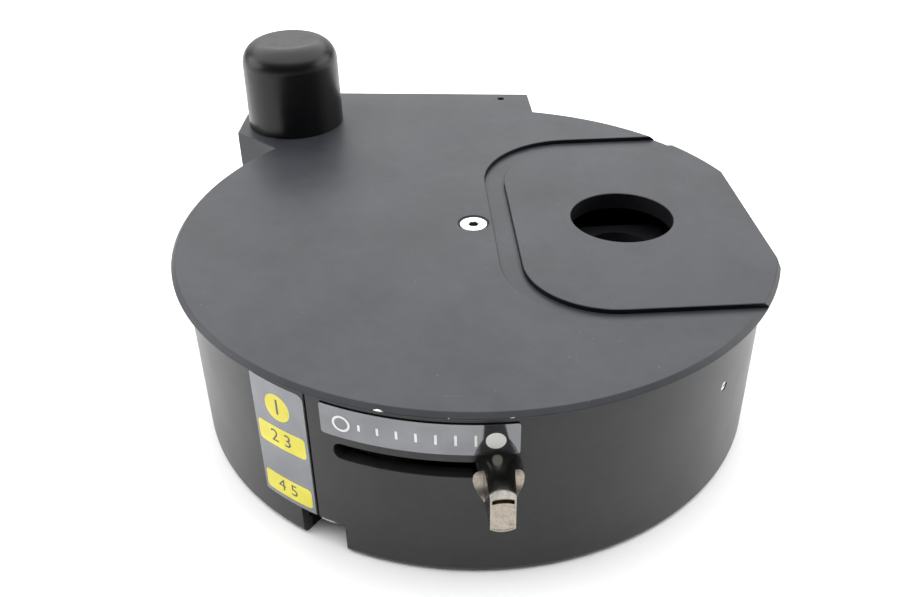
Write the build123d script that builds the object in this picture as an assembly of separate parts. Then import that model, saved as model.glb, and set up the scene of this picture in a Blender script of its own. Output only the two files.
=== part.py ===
"""Motorised optical filter wheel: a five-position filter cube carousel in a round, flat housing.

Frame: the origin is on the carousel's axis, in the plane of the housing's base face. +Z is up, out of
the top plate. +X runs through the vertical light path and the excitation port. Sizes are in
millimetres and angles in degrees, counted from +X towards +Y.
"""
from build123d import *
import math
import os

# ---------------------------------------------------------------- driving dimensions
# Fits between pieces
STATIC_GAP = 0.1            # between pieces that are fixed to each other
PRESS_GAP = 0.02            # round pins, rings, filters and magnets in their seats
RUNNING_GAP = 0.04          # radial clearance of a shaft in its bore
SLIDING_GAP = 0.15          # between a piece that slides and its guide
FREE_GAP = 0.5              # between a moving piece and a wall that it passes

# Housing
HEIGHT = 64.0               # base face to top face
TOP_RADIUS = 100.0          # edge of the flat top, inside the rim chamfer
RIM_CHAMFER = 1.35
RIM_LAND = 0.45             # straight edge under the rim chamfer
SPIGOT_DEPTH = 4.2          # register of the top plate inside the skirt
SKIRT_RADIUS = 97.4
SKIRT_WALL = 4.0
SKIRT_EDGE_ROUND = 2.5
BASE_THICKNESS = 5.0
RIM_FLAT_DEPTH = 6.35       # flat on the rim, facing the light source
SKIRT_FLAT_DEPTH = 4.4      # flat on the skirt below it

# Light path
PATH_RADIUS = 51.2          # from the carousel's axis to the vertical light path
LIGHT_BORE_RADIUS = 17.5
PORT_BORE_RADIUS = 15.0     # excitation port in the skirt's flat

# Slide rail milled in the top face, round the light path
RAIL_DEPTH = 1.7
RAIL_LEFT_X = 13.5
RAIL_HALF_WIDTH = 56.4
RAIL_CORNER = 28.0
GROOVE_LEFT = 7.0
GROOVE_FRONT = 6.0
GROOVE_BACK = 8.8

# Carousel
STATIONS = 5
CUBE_WIDTH = 34.0
CUBE_LENGTH = 36.0
CUBE_CHAMFER = 1.5
CUBE_BORE_RADIUS = 12.0
FILTER_RADIUS = 12.5
FILTER_THICKNESS = 3.5
FILTER_SINK = 0.3           # filters below the cube's faces
MIRROR_THICKNESS = 1.0
MIRROR_SEAT = 1.2           # mirror past the bore, in its slots
TONGUE_DEPTH = 1.5
TONGUE_HEIGHT = 2.5
TONGUE_RISE = 3.0           # cube's lower face to its side tongues
DISC_RADIUS = 74.0
DISC_THICKNESS = 4.0
HUB_RADIUS = 15.0
HUB_HEIGHT = 20.0
HUB_WEB = 3.0               # shoulder between the two bearings
GEAR_FACE = 4.5
GEAR_LIFT = 2.5             # base plate to gears
DISC_LIFT = 1.0             # gears to carousel disc
GUIDE_INSET = 1.0           # ends of the wedges inside the cubes' and the disc's edges
GUIDE_RISE = 3.0            # wedges above the cubes' tongues
GUIDE_SCREW_SPACING = 12.0
INDEX_RADIUS = 30.0         # circle of the magnets under the disc
INDEX_MAGNET_RADIUS = 2.5
INDEX_MAGNET_DEPTH = 2.0

# Bearings, 8 x 22 x 7
BEARING_BORE = 4.0
BEARING_RADIUS = 11.0
BEARING_WIDTH = 7.0
BEARING_RING = 1.7
SHIELD_THICKNESS = 0.6
SHIELD_GAP = 0.25
POST_FLANGE_RADIUS = 10.0
POST_FLANGE = 1.8
POST_SHOULDER = 1.5         # under the lower bearing
SLEEVE_WALL = 2.0

# Gear train
GEAR_MODULE = 1.5
PRESSURE_ANGLE = 20.0
BACKLASH = 0.16
ADDENDUM = 0.8              # times the module
DEDENDUM = 1.05             # times the module
WHEEL_TEETH = 94
PINION_TEETH = 14
DRIVE_ANGLE = 125.3         # direction from the carousel's axis to the motor's
RING_WEB = 4.5              # width of the ring gear inside its teeth
GEAR_LUG_RADIUS = 5.0       # lugs inside the ring gear, for its screws
GEAR_LUG_INSET = 1.0        # centres of the lugs, inside the ring's inner edge
GEAR_RAISE_INSET = 1.0      # step between the teeth and the disc
IDLER_PIN_RADIUS = 2.5
IDLER_PIN_HEAD_RADIUS = 4.0
IDLER_PIN_HEAD = 1.0
IDLER_PIN_FOOT = 1.0        # above the base face
IDLER_WASHER_RADIUS = 5.5
IDLER_HOLE_RADIUS = 3.0
PINION_HUB_RADIUS = 6.5
PINION_HUB = 3.0
SHAFT_GRIP = 9.0            # of the output shaft in the gearhead
SHAFT_RADIUS = 3.0

# Drive housing and motor
HOUSING_WALL = 4.0
HOUSING_FLOOR = 4.0
LID_STEP = 0.15             # drive housing's lid below the top face
BACK_ANGLE = 6.7            # back wall, turned from the X direction
RIGHT_WALL_X = 32.4
BACK_REACH = 19.5           # motor's axis to the back right corner, along Y
SIDE_REACH = 17.6           # motor's axis to the back left corner, along X
RIGHT_WALL_LENGTH = 35.0    # of which the skirt cuts off the front end
BLOCK_CORNERS = (           # round the motor, from its axis
    (-8.4, 23.8),
    (-21.7, 8.5),
    (-23.4, -10.8),
    (-5.9, -28.2),
    (7.0, -41.0),
)
BRACKET_Z = 18.0
BRACKET_THICKNESS = 4.0
BRACKET_RADIUS = 26.0
PILLAR_CIRCLE = 17.5        # pillars of the bracket, from the motor's axis
PILLAR_RADIUS = 4.0
MOTOR_RADIUS = 17.2
MOTOR_TO_SKIRT = 2.4
GEARHEAD_LENGTH = 22.0
GEARHEAD_BOSS = 3.0         # below the bracket's top face
GEARHEAD_BOSS_RADIUS = 5.0
END_BELL = 4.0              # step on the motor's top, as high as it is set in
CAP_RADIUS = 19.5
CAP_TOP_RADIUS = 19.2
CAP_HEIGHT = 35.0
CAP_ROUND = 9.0
CAP_WALL = 1.1
CAP_HEADROOM = 5.75         # motor's end bell to the cap
BLOCK_SCREW_DROPS = (6.0, 29.0)     # register to the screws between the block and the skirt
BLOCK_SCREW_EDGE = 4.5      # degrees from the block's right wall to its screws
BLOCK_SCREW_TURN = 9.5      # degrees from the drive's direction to the other screws
BLOCK_BOSS_RADIUS = 4.0
BLOCK_BOSS_DEPTH = 6.0
CONNECTOR_DROP = 34.0       # top face to the connector's axis
CONNECTOR_RADIUS = 8.0
CONNECTOR_OFFSET = 34.0     # from the right wall
CONNECTOR_WALL = 1.2
CONNECTOR_BODY = 7.0        # inside the back wall's outer face
CONNECTOR_RIM = 2.0
CONNECTOR_FLANGE = 1.5
CONNECTOR_NOSE = 5.0
CONNECTOR_SOCKET = 3.0
CONNECTOR_PINS = 8
CONNECTOR_PIN_CIRCLE = 4.0
CONNECTOR_PIN_RADIUS = 0.6
LID_HOLE_EDGE = 5.4         # back edge to the lid's tapped hole
LID_HOLE_SIDE = 12.0        # right wall to the lid's tapped hole

# Shutter
LEVER_DROP = 22.8           # top face to the lever's axis
LEVER_ANGLE = -90.5
SHUTTER_TRAVEL = 26.0
SLOT_HEIGHT = 5.6
STEM_RADIUS = 2.5
STEM_NECK_RADIUS = 2.0      # in the band and in the knob
STEM_HEAD_RADIUS = 3.5
STEM_HEAD = 1.0
BLADE_GAP = 1.8             # curved blade to the inside of the skirt's flat
BLADE_THICKNESS = 1.2
BLADE_MARGIN = 3.0          # blade past the edge of the port
BAND_HEIGHT = 10.0
BAND_OVERHANG = 6.0         # degrees of the band past the lever
FRAME_THICKNESS = 2.0
FRAME_HUB_HEIGHT = 3.0
FRAME_HUB_RADIUS = 9.0
FRAME_LIFT = 1.5            # cubes to the shutter frame
TOP_SPACER = 2.5            # shutter frame to the top plate
FRAME_RIM = 5.0
SPOKE_WIDTH = 8.0
SPOKE_ANGLES = (-90.5, -42.0)
KNOB_RADIUS = 7.0
KNOB_COLLAR = 2.5           # back face to the run-out of its two flats
KNOB_LENGTH = 15.8
KNOB_CUTTER_RADIUS = 6.8    # of the flats' run-out
KNOB_LAND = 2.4             # steeper stretch before the end face
KNOB_LAND_RADIUS = 6.7
KNOB_TIP_RADIUS = 6.3
KNOB_ROOT_HALF_WIDTH = 4.2  # between the flats, at the collar
KNOB_HALF_WIDTH = 3.4       # and at the tip
KNOB_STANDOFF = 0.8
KNOB_CHAMFER = 0.4
KNOB_GROOVE_TOP = 5.4       # above the axis, in the end face
KNOB_GROOVE_HEIGHT = 1.5
KNOB_GROOVE_DEPTH = 1.2
KNOB_GROOVE_WALL = 0.5      # beside the groove
KNOB_THREAD = 9.0           # of the stem, in the knob
DETENT_ANGLE = -44.0
DETENT_DROP = 21.8          # top face to the detent screw
DETENT_RADIUS = 1.5
DETENT_PIN_RADIUS = 0.7
DETENT_HOLE_RADIUS = 1.0    # in the band, one for each end of the travel
DETENT_SINK = 0.3           # below the skirt's face
DETENT_SLOT = 0.5
DETENT_SLOT_DEPTH = 0.9

# Access cover
COVER_STATION = 2           # stations from the light path, clockwise, to the cover's middle
COVER_HALF_ANGLE = 21.2
COVER_THICKNESS = 3.0
COVER_SEAM = 0.35           # degrees, on each side
NOTCH_START = -126.8
NOTCH_END = -117.5
NOTCH_HEIGHT = 11.2
NOTCH_DEPTH = 6.0           # inside the skirt's wall
MAGNET_RADIUS = 2.0
MAGNET_LENGTH = 2.4
MAGNET_SIDE = 12.0          # degrees from the cover's middle to its magnets
KEEPER_LENGTH = 4.9
STOP_THICKNESS = 0.7
STOP_LENGTH = 2.9           # degrees

# Position sensor
BOARD_LENGTH = 20.0
BOARD_WIDTH = 12.0
BOARD_THICKNESS = 1.6
BOARD_SPACER = 2.0          # height and radius
CHIP_WIDTH = 4.0
CHIP_HEIGHT = 1.4

# Fasteners
M3 = 1.5
M3_HEAD = 2.75
M3_HEAD_HEIGHT = 3.0
M3_HEX = 1.45               # corner radius of the key's recess
M3_DRILL = 0.1              # clearance round a screw's shank and head
M3_TAP = 0.05               # clearance round a screw in its thread
M3_GRIP = 5.0               # length of a screw in its thread
HEAD_SINK = 0.2             # screw heads below the base face
CENTRE_SCREW_RADIUS = 2.5
CENTRE_SINK_STEP = 0.4      # straight edge above the countersink
CENTRE_HEAD_EDGE = 0.3
CENTRE_TIP_CHAMFER = 0.5
CENTRE_HEX = 1.73           # corner radius of the key's recess
CENTRE_HEX_DEPTH = 2.2
CENTRE_HEAD_RADIUS = 4.7
CENTRE_SINK_RADIUS = 5.4
CENTRE_SCREW_LENGTH = 14.0
CENTRE_HOLE_END = 2.0       # thread below the centre screw's tip
LUG_ANGLES = (35.0, 85.0, 165.0, -45.0, -100.0)
LUG_WIDTH = 10.0
LUG_DEPTH = 9.4
LUG_HEIGHT = 9.0

# ---------------------------------------------------------------- derived places
RIM_RADIUS = TOP_RADIUS + RIM_CHAMFER
RIM_FLAT_X = RIM_RADIUS - RIM_FLAT_DEPTH
SKIRT_FLAT_X = SKIRT_RADIUS - SKIRT_FLAT_DEPTH
FLANGE_Z = HEIGHT - RIM_CHAMFER - RIM_LAND
SPIGOT_Z = FLANGE_Z - SPIGOT_DEPTH
INNER_RADIUS = SKIRT_RADIUS - SKIRT_WALL
INNER_FLAT_X = SKIRT_FLAT_X - SKIRT_WALL
REGISTER_RADIUS = INNER_RADIUS - STATIC_GAP
REGISTER_FLAT_X = INNER_FLAT_X - STATIC_GAP
LUG_SCREW_RADIUS = INNER_RADIUS - LUG_DEPTH / 2

FRAME_TOP = SPIGOT_Z - TOP_SPACER
FRAME_Z = FRAME_TOP - FRAME_HUB_HEIGHT
FRAME_PLATE_Z = FRAME_TOP - FRAME_THICKNESS
GEAR_Z = BASE_THICKNESS + GEAR_LIFT
DISC_Z = GEAR_Z + GEAR_FACE + DISC_LIFT
CUBE_Z = DISC_Z + DISC_THICKNESS
CUBE_TOP = FRAME_Z - FRAME_LIFT
CUBE_HEIGHT = CUBE_TOP - CUBE_Z
AXIS_Z = CUBE_Z + CUBE_HEIGHT / 2
PITCH = 360.0 / STATIONS
STATION_ANGLES = [PITCH * station for station in range(STATIONS)]
SENSOR_ANGLE = -PITCH * 1.5
COVER_MIDDLE = -PITCH * COVER_STATION
COVER_START = COVER_MIDDLE - COVER_HALF_ANGLE
COVER_END = COVER_MIDDLE + COVER_HALF_ANGLE

WHEEL_PITCH_RADIUS = GEAR_MODULE * WHEEL_TEETH / 2
PINION_PITCH_RADIUS = GEAR_MODULE * PINION_TEETH / 2
DRIVE_REACH = SKIRT_RADIUS + MOTOR_RADIUS + MOTOR_TO_SKIRT
IDLER_TEETH = round((DRIVE_REACH - WHEEL_PITCH_RADIUS - PINION_PITCH_RADIUS) / GEAR_MODULE)
IDLER_PITCH_RADIUS = GEAR_MODULE * IDLER_TEETH / 2
WHEEL_ROOT = WHEEL_PITCH_RADIUS - DEDENDUM * GEAR_MODULE
GEAR_LUG_CIRCLE = WHEEL_ROOT - RING_WEB - GEAR_LUG_INSET
IDLER_DISTANCE = WHEEL_PITCH_RADIUS + IDLER_PITCH_RADIUS
MOTOR_DISTANCE = IDLER_DISTANCE + IDLER_PITCH_RADIUS + PINION_PITCH_RADIUS

HUB_Z = GEAR_Z
BEARING_LOW_Z = HUB_Z + (HUB_HEIGHT - 2 * BEARING_WIDTH - HUB_WEB) / 2
BEARING_HIGH_Z = BEARING_LOW_Z + BEARING_WIDTH + HUB_WEB
BEARING_TOP_Z = BEARING_HIGH_Z + BEARING_WIDTH

LEVER_Z = HEIGHT - LEVER_DROP
DETENT_Z = HEIGHT - DETENT_DROP
BLADE_RADIUS = INNER_FLAT_X - BLADE_GAP
BLADE_INNER = BLADE_RADIUS - BLADE_THICKNESS
KNOB_START = SKIRT_RADIUS + KNOB_STANDOFF
BLADE_HALF_ANGLE = math.degrees(math.asin((PORT_BORE_RADIUS + BLADE_MARGIN) / BLADE_RADIUS))
BAND_START = LEVER_ANGLE - BAND_OVERHANG

LID_Z = HEIGHT - LID_STEP
GEARHEAD_Z = BRACKET_Z + BRACKET_THICKNESS
MOTOR_Z = GEARHEAD_Z + GEARHEAD_LENGTH
MOTOR_TOP = LID_Z + CAP_HEIGHT - CAP_WALL - CAP_HEADROOM - END_BELL
CONNECTOR_Z = HEIGHT - CONNECTOR_DROP
HEAD_SEAT_Z = M3_HEAD_HEIGHT + HEAD_SINK

UPRIGHT = (Align.CENTER, Align.CENTER, Align.MIN)


# ---------------------------------------------------------------- helpers
def polar(radius, angle):
    """Point in the XY plane at a radius and an angle."""
    return (radius * math.cos(math.radians(angle)), radius * math.sin(math.radians(angle)))


def disc(radius, low, high, centre=(0.0, 0.0)):
    """Upright cylinder between two heights."""
    return Pos(centre[0], centre[1], low) * Cylinder(radius, high - low, align=UPRIGHT)


def ring(inner, outer, low, high, centre=(0.0, 0.0)):
    """Upright tube between two heights."""
    return disc(outer, low, high, centre) - disc(inner, low, high, centre)


def slab(x_low, x_high, y_low, y_high, low, high):
    """Box between its limits."""
    corner = Pos(x_low, y_low, low)
    return corner * Box(x_high - x_low, y_high - y_low, high - low, align=(Align.MIN,) * 3)


def sector(inner, outer, start, end, low, high):
    """Part of a tube between two angles."""
    middle = (start + end) / 2
    outline = ThreePointArc(polar(outer, start), polar(outer, middle), polar(outer, end))
    outline += Line(polar(outer, end), polar(inner, end))
    outline += ThreePointArc(polar(inner, end), polar(inner, middle), polar(inner, start))
    outline += Line(polar(inner, start), polar(outer, start))
    return Pos(0, 0, low) * extrude(make_face(outline), high - low)


def turned(points, centre=(0.0, 0.0)):
    """Solid of revolution about Z from (radius, height) points."""
    face = make_face(Polyline(*[(radius, 0, height) for radius, height in points], close=True))
    return Pos(centre[0], centre[1], 0) * revolve(face, Axis.Z)


def radial(shape, angle, height):
    """Turns a shape made along +Z so that it points outwards at an angle and a height."""
    return Rot(0, 0, angle) * Pos(0, 0, height) * Rot(0, 90, 0) * shape


def radial_rod(radius, start, end, angle, height):
    """Cylinder that points outwards from the axis, between two distances from it."""
    return radial(disc(radius, start, end), angle, height)


def flatted(radius, flat_x, low, high):
    """Disc with a flat across its +X side."""
    return disc(radius, low, high) & slab(-radius, flat_x, -radius, radius, low, high)


def socket_screw(length, centre, top, points_up=False):
    """M3 cap screw with its head's seat at a height, its shank down, or up if it points up."""
    shank = disc(M3, -length, 0)
    head = disc(M3_HEAD, 0, M3_HEAD_HEIGHT)
    recess = Pos(0, 0, M3_HEAD_HEIGHT / 2) * extrude(RegularPolygon(M3_HEX, 6), M3_HEAD_HEIGHT)
    screw = shank + head - recess
    if points_up:
        screw = Rot(180, 0, 0) * screw
    return Pos(centre[0], centre[1], top) * screw


def involute(angle):
    """Involute function of an angle in radians."""
    return math.tan(angle) - angle


def gear_outline(teeth, tooth_angle, flank_steps):
    """Face of a spur gear that has a tooth centred on the given angle."""
    pitch_radius = GEAR_MODULE * teeth / 2
    pressure = math.radians(PRESSURE_ANGLE)
    base_radius = pitch_radius * math.cos(pressure)
    root = pitch_radius - DEDENDUM * GEAR_MODULE
    tip = pitch_radius + ADDENDUM * GEAR_MODULE
    start = max(base_radius, root)
    half_tooth = math.pi / (2 * teeth) - BACKLASH / (4 * pitch_radius)

    def flank(radius):
        turn = math.acos(min(1.0, base_radius / radius))
        return math.degrees(half_tooth + involute(pressure) - involute(turn))

    radii = [start + (tip - start) * step / flank_steps for step in range(flank_steps + 1)]
    if root < start:
        radii.insert(0, root)
    points = []
    for tooth in range(teeth):
        centre = tooth_angle + 360.0 * tooth / teeth
        points += [polar(radius, centre - flank(radius)) for radius in radii]
        points += [polar(radius, centre + flank(radius)) for radius in reversed(radii)]
    return make_face(Polyline(*points, close=True))


def gear(teeth, tooth_angle, flank_steps, centre, low, high):
    """Spur gear between two heights."""
    outline = gear_outline(teeth, tooth_angle, flank_steps)
    return Pos(centre[0], centre[1], low) * extrude(outline, high - low)


IDLER_CENTRE = polar(IDLER_DISTANCE, DRIVE_ANGLE)
MOTOR_CENTRE = polar(MOTOR_DISTANCE, DRIVE_ANGLE)
BACK_CORNER_Y = MOTOR_CENTRE[1] + BACK_REACH


def from_motor(x, y):
    """Point given from the motor's axis."""
    return (MOTOR_CENTRE[0] + x, MOTOR_CENTRE[1] + y)


# ---------------------------------------------------------------- drive housing's outline
def back_wall_point(distance):
    """Point on the back wall's outer face, at a distance from the right wall along X."""
    return (RIGHT_WALL_X - distance, BACK_CORNER_Y + distance * math.tan(math.radians(BACK_ANGLE)))


def housing_outline():
    """Outline of the drive housing, which runs on into the round housing."""
    far_left = MOTOR_CENTRE[0] + SIDE_REACH
    corners = [
        (RIGHT_WALL_X, BACK_CORNER_Y - RIGHT_WALL_LENGTH),
        back_wall_point(0),
        back_wall_point(RIGHT_WALL_X - far_left),
    ]
    corners += [from_motor(*corner) for corner in BLOCK_CORNERS]
    return make_face(Polyline(*corners, close=True))


def housing_prism(inset, low, high):
    """Upright prism of the drive housing's outline, drawn in by an inset."""
    outline = housing_outline()
    if inset:
        outline = offset(outline, amount=-inset, kind=Kind.INTERSECTION)
    return Pos(0, 0, low) * extrude(outline, high - low)


# ---------------------------------------------------------------- housing
def groove_outline(left, front, back, corner):
    """Rounded outline open towards the rim, as wide as its front and back edges."""
    past_rim = RIM_RADIUS + corner
    corners = [(left, front), (past_rim, front), (past_rim, back), (left, back)]
    shape = make_face(Polyline(*corners, close=True))
    return fillet(shape.vertices().filter_by(lambda v: v.X < RIM_RADIUS), corner)


def top_plate():
    """Top plate: rim flange, register, lid of the drive housing and milled slide rail."""
    rim = turned([
        (0, FLANGE_Z),
        (RIM_RADIUS, FLANGE_Z),
        (RIM_RADIUS, FLANGE_Z + RIM_LAND),
        (TOP_RADIUS, HEIGHT),
        (0, HEIGHT),
    ])
    lid = housing_prism(0, FLANGE_Z, LID_Z)
    spigot = flatted(REGISTER_RADIUS, REGISTER_FLAT_X, SPIGOT_Z, FLANGE_Z)
    plate = rim & slab(-RIM_RADIUS, RIM_FLAT_X, -RIM_RADIUS, RIM_RADIUS, FLANGE_Z, HEIGHT)
    plate = plate + lid + spigot
    groove = groove_outline(RAIL_LEFT_X - GROOVE_LEFT, -RAIL_HALF_WIDTH - GROOVE_FRONT,
                            RAIL_HALF_WIDTH + GROOVE_BACK, RAIL_CORNER + GROOVE_LEFT)
    groove -= groove_outline(RAIL_LEFT_X, -RAIL_HALF_WIDTH, RAIL_HALF_WIDTH, RAIL_CORNER)
    plate -= Pos(0, 0, HEIGHT - RAIL_DEPTH) * extrude(groove, RAIL_DEPTH + 1)
    plate -= disc(LIGHT_BORE_RADIUS, SPIGOT_Z, HEIGHT, (PATH_RADIUS, 0))
    plate -= centre_screw_hole()
    plate -= disc(MOTOR_RADIUS + FREE_GAP, FLANGE_Z, HEIGHT, MOTOR_CENTRE)
    plate -= disc(CAP_RADIUS + STATIC_GAP, LID_Z, HEIGHT, MOTOR_CENTRE)
    plate -= disc(M3, FLANGE_Z, HEIGHT, lid_hole_place())
    return plate - keeper_holes((SPIGOT_Z + FLANGE_Z) / 2)


def lid_hole_place():
    """Place of the tapped hole near the back edge, through the lid into the drive housing."""
    x, y = back_wall_point(LID_HOLE_SIDE)
    return (x, y - LID_HOLE_EDGE)


def centre_screw_hole():
    """Countersunk hole for the centre screw, with a shallow counterbore."""
    sink = HEIGHT - CENTRE_SINK_STEP
    bore = CENTRE_SCREW_RADIUS + M3_DRILL
    return turned([
        (0, SPIGOT_Z),
        (bore, SPIGOT_Z),
        (bore, sink - CENTRE_SINK_RADIUS + bore),
        (CENTRE_SINK_RADIUS, sink),
        (CENTRE_SINK_RADIUS, HEIGHT),
        (0, HEIGHT),
    ])


def centre_screw():
    """M5 countersunk screw that clamps the top plate to the post."""
    top = HEIGHT - CENTRE_SINK_STEP
    edge = top - CENTRE_HEAD_EDGE
    foot = HEIGHT - CENTRE_SCREW_LENGTH
    screw = turned([
        (0, foot),
        (CENTRE_SCREW_RADIUS - CENTRE_TIP_CHAMFER, foot),
        (CENTRE_SCREW_RADIUS, foot + CENTRE_TIP_CHAMFER),
        (CENTRE_SCREW_RADIUS, edge - CENTRE_HEAD_RADIUS + CENTRE_SCREW_RADIUS),
        (CENTRE_HEAD_RADIUS, edge),
        (CENTRE_HEAD_RADIUS, top),
        (0, top),
    ])
    recess = extrude(RegularPolygon(CENTRE_HEX, 6), CENTRE_HEX_DEPTH)
    return screw - Pos(0, 0, top - CENTRE_HEX_DEPTH) * recess


def skirt_blank():
    """Ring of the skirt, its foot rounded, with the flat inside and outside."""
    outer = turned([(0, 0), (SKIRT_RADIUS, 0), (SKIRT_RADIUS, FLANGE_Z), (0, FLANGE_Z)])
    foot = outer.edges().filter_by(GeomType.CIRCLE).sort_by(Axis.Z)[0]
    outer = fillet(foot, SKIRT_EDGE_ROUND)
    outer &= slab(-SKIRT_RADIUS, SKIRT_FLAT_X, -SKIRT_RADIUS, SKIRT_RADIUS, 0, FLANGE_Z)
    return outer - flatted(INNER_RADIUS, INNER_FLAT_X, 0, FLANGE_Z)


def cover_space(margin, low, high):
    """Sector that the access cover takes up, widened by a margin in degrees."""
    inner = INNER_RADIUS - LUG_DEPTH
    return sector(inner, SKIRT_RADIUS + SKIRT_WALL, COVER_START - margin, COVER_END + margin, low, high)


def finger_notch():
    """Cut in the foot of the skirt and the cover, which a fingertip reaches under."""
    return sector(INNER_RADIUS - NOTCH_DEPTH, SKIRT_RADIUS + SKIRT_WALL, NOTCH_START, NOTCH_END,
                  0, NOTCH_HEIGHT)


def lug(angle):
    """Threaded lug inside the skirt, on the base plate."""
    inner = INNER_RADIUS - LUG_DEPTH
    body = slab(inner, INNER_RADIUS + SKIRT_WALL / 2, -LUG_WIDTH / 2, LUG_WIDTH / 2,
                BASE_THICKNESS, BASE_THICKNESS + LUG_HEIGHT)
    body -= disc(M3 + M3_TAP, BASE_THICKNESS, BASE_THICKNESS + LUG_HEIGHT, (LUG_SCREW_RADIUS, 0))
    return Rot(0, 0, angle) * body


def slot_cutter():
    """Curved slot in the skirt, as long as the lever's travel, with round ends."""
    end = LEVER_ANGLE
    start = LEVER_ANGLE - SHUTTER_TRAVEL
    low = LEVER_Z - SLOT_HEIGHT / 2
    inner = INNER_RADIUS - SKIRT_WALL
    outer = SKIRT_RADIUS + SKIRT_WALL
    cutter = sector(inner, outer, start, end, low, low + SLOT_HEIGHT)
    for angle in (start, end):
        cutter += radial_rod(SLOT_HEIGHT / 2, inner, outer, angle, LEVER_Z)
    return cutter


def housing_screw_places():
    """Angles and heights of the screws that join the drive housing to the skirt."""
    right = math.degrees(math.acos(RIGHT_WALL_X / SKIRT_RADIUS)) + BLOCK_SCREW_EDGE
    left = DRIVE_ANGLE + BLOCK_SCREW_TURN
    return [(angle, SPIGOT_Z - drop) for angle in (right, left) for drop in BLOCK_SCREW_DROPS]


def gear_clearance(low, high):
    """Space that the idler and the pinion turn in."""
    tip = ADDENDUM * GEAR_MODULE + 2 * FREE_GAP
    return disc(IDLER_PITCH_RADIUS + tip, low, high, IDLER_CENTRE) + \
        disc(PINION_PITCH_RADIUS + tip, low, high, MOTOR_CENTRE)


def skirt_wall():
    """Round side wall: excitation port, shutter slot, gear window, lugs and the gap for the cover."""
    wall = skirt_blank()
    for angle in LUG_ANGLES:
        wall += lug(angle)
    wall -= cover_space(0, 0, FLANGE_Z)
    wall -= finger_notch()
    wall -= radial_rod(PORT_BORE_RADIUS, INNER_FLAT_X, SKIRT_FLAT_X, 0, AXIS_Z)
    wall -= slot_cutter()
    wall -= radial_rod(DETENT_RADIUS + M3_TAP, BLADE_RADIUS, SKIRT_RADIUS, DETENT_ANGLE, DETENT_Z)
    wall -= gear_clearance(BASE_THICKNESS, DISC_Z + 2 * FREE_GAP)
    wall -= idler_pin_seat()
    for angle, height in housing_screw_places():
        wall -= radial_rod(M3 + M3_DRILL, BLADE_RADIUS, SKIRT_RADIUS + SKIRT_WALL, angle, height)
    return wall


def base_plate():
    """Base plate: lower light bore, seats for the post and the idler pin, and the fingertip relief."""
    plate = flatted(REGISTER_RADIUS, REGISTER_FLAT_X, 0, BASE_THICKNESS)
    plate -= disc(LIGHT_BORE_RADIUS, 0, BASE_THICKNESS, (PATH_RADIUS, 0))
    plate -= finger_notch()
    plate -= idler_pin_seat()
    for angle in LUG_ANGLES:
        plate -= sunk_hole(polar(LUG_SCREW_RADIUS, angle))
    for centre in post_screw_places():
        plate -= sunk_hole(centre)
    return plate - keeper_holes(BASE_THICKNESS / 2)


def idler_pin_seat():
    """Hole for the idler pin's foot, in the base plate and in any wall beside it."""
    return disc(IDLER_PIN_RADIUS + PRESS_GAP, IDLER_PIN_FOOT, BASE_THICKNESS, IDLER_CENTRE)


def sunk_hole(centre):
    """Hole through the base plate for a screw from below, its head sunk in."""
    return disc(M3 + M3_DRILL, 0, BASE_THICKNESS, centre) + disc(M3_HEAD + M3_DRILL, 0, HEAD_SEAT_Z, centre)


def base_screws():
    """Screws from below that join the base plate to the skirt's lugs."""
    length = BASE_THICKNESS - HEAD_SEAT_Z + LUG_HEIGHT - M3
    return [socket_screw(length, polar(LUG_SCREW_RADIUS, angle), HEAD_SEAT_Z, True) for angle in LUG_ANGLES]


def housing_screws():
    """Screws that join the drive housing to the skirt from inside."""
    screws = []
    for angle, height in housing_screw_places():
        screw = Rot(180, 0, 0) * socket_screw(SKIRT_WALL + M3_GRIP, (0, 0), 0)
        screws.append(radial(Pos(0, 0, INNER_RADIUS - STATIC_GAP) * screw, angle, height))
    return screws


# ---------------------------------------------------------------- post, bearings and sleeves
def post_screw_places():
    """Places of the three screws in the post's flange."""
    return [polar(POST_FLANGE_RADIUS - 2 * M3, angle) for angle in (90, 210, 330)]


def centre_post():
    """Fixed post that carries the bearings and the shutter frame."""
    flange_top = BASE_THICKNESS + POST_FLANGE
    post = turned([
        (0, BASE_THICKNESS),
        (POST_FLANGE_RADIUS, BASE_THICKNESS),
        (POST_FLANGE_RADIUS, flange_top),
        (BEARING_BORE + POST_SHOULDER, flange_top),
        (BEARING_BORE + POST_SHOULDER, BEARING_LOW_Z),
        (BEARING_BORE, BEARING_LOW_Z),
        (BEARING_BORE, SPIGOT_Z),
        (0, SPIGOT_Z),
    ])
    post -= disc(CENTRE_SCREW_RADIUS + PRESS_GAP, HEIGHT - CENTRE_SCREW_LENGTH - CENTRE_HOLE_END, SPIGOT_Z)
    for centre in post_screw_places():
        post -= disc(M3 + M3_TAP, BASE_THICKNESS, flange_top, centre)
    return post


def post_screws():
    """Screws from below that hold the post's flange."""
    length = BASE_THICKNESS - HEAD_SEAT_Z + POST_FLANGE - HEAD_SINK
    return [socket_screw(length, centre, HEAD_SEAT_Z, True) for centre in post_screw_places()]


def bearing_inner_rings():
    """Inner rings of both bearings, on the post."""
    return [ring(BEARING_BORE + PRESS_GAP, BEARING_BORE + BEARING_RING, low, low + BEARING_WIDTH)
            for low in (BEARING_LOW_Z, BEARING_HIGH_Z)]


def bearing_outer_rings():
    """Outer rings of both bearings with their shields, in the hub."""
    rings = []
    for low in (BEARING_LOW_Z, BEARING_HIGH_Z):
        body = ring(BEARING_RADIUS - BEARING_RING, BEARING_RADIUS, low, low + BEARING_WIDTH)
        for shield_low in (low, low + BEARING_WIDTH - SHIELD_THICKNESS):
            shield_inner = BEARING_BORE + BEARING_RING + SHIELD_GAP
            body += ring(shield_inner, BEARING_RADIUS - BEARING_RING / 2, shield_low,
                         shield_low + SHIELD_THICKNESS)
        rings.append(body)
    return rings


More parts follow.
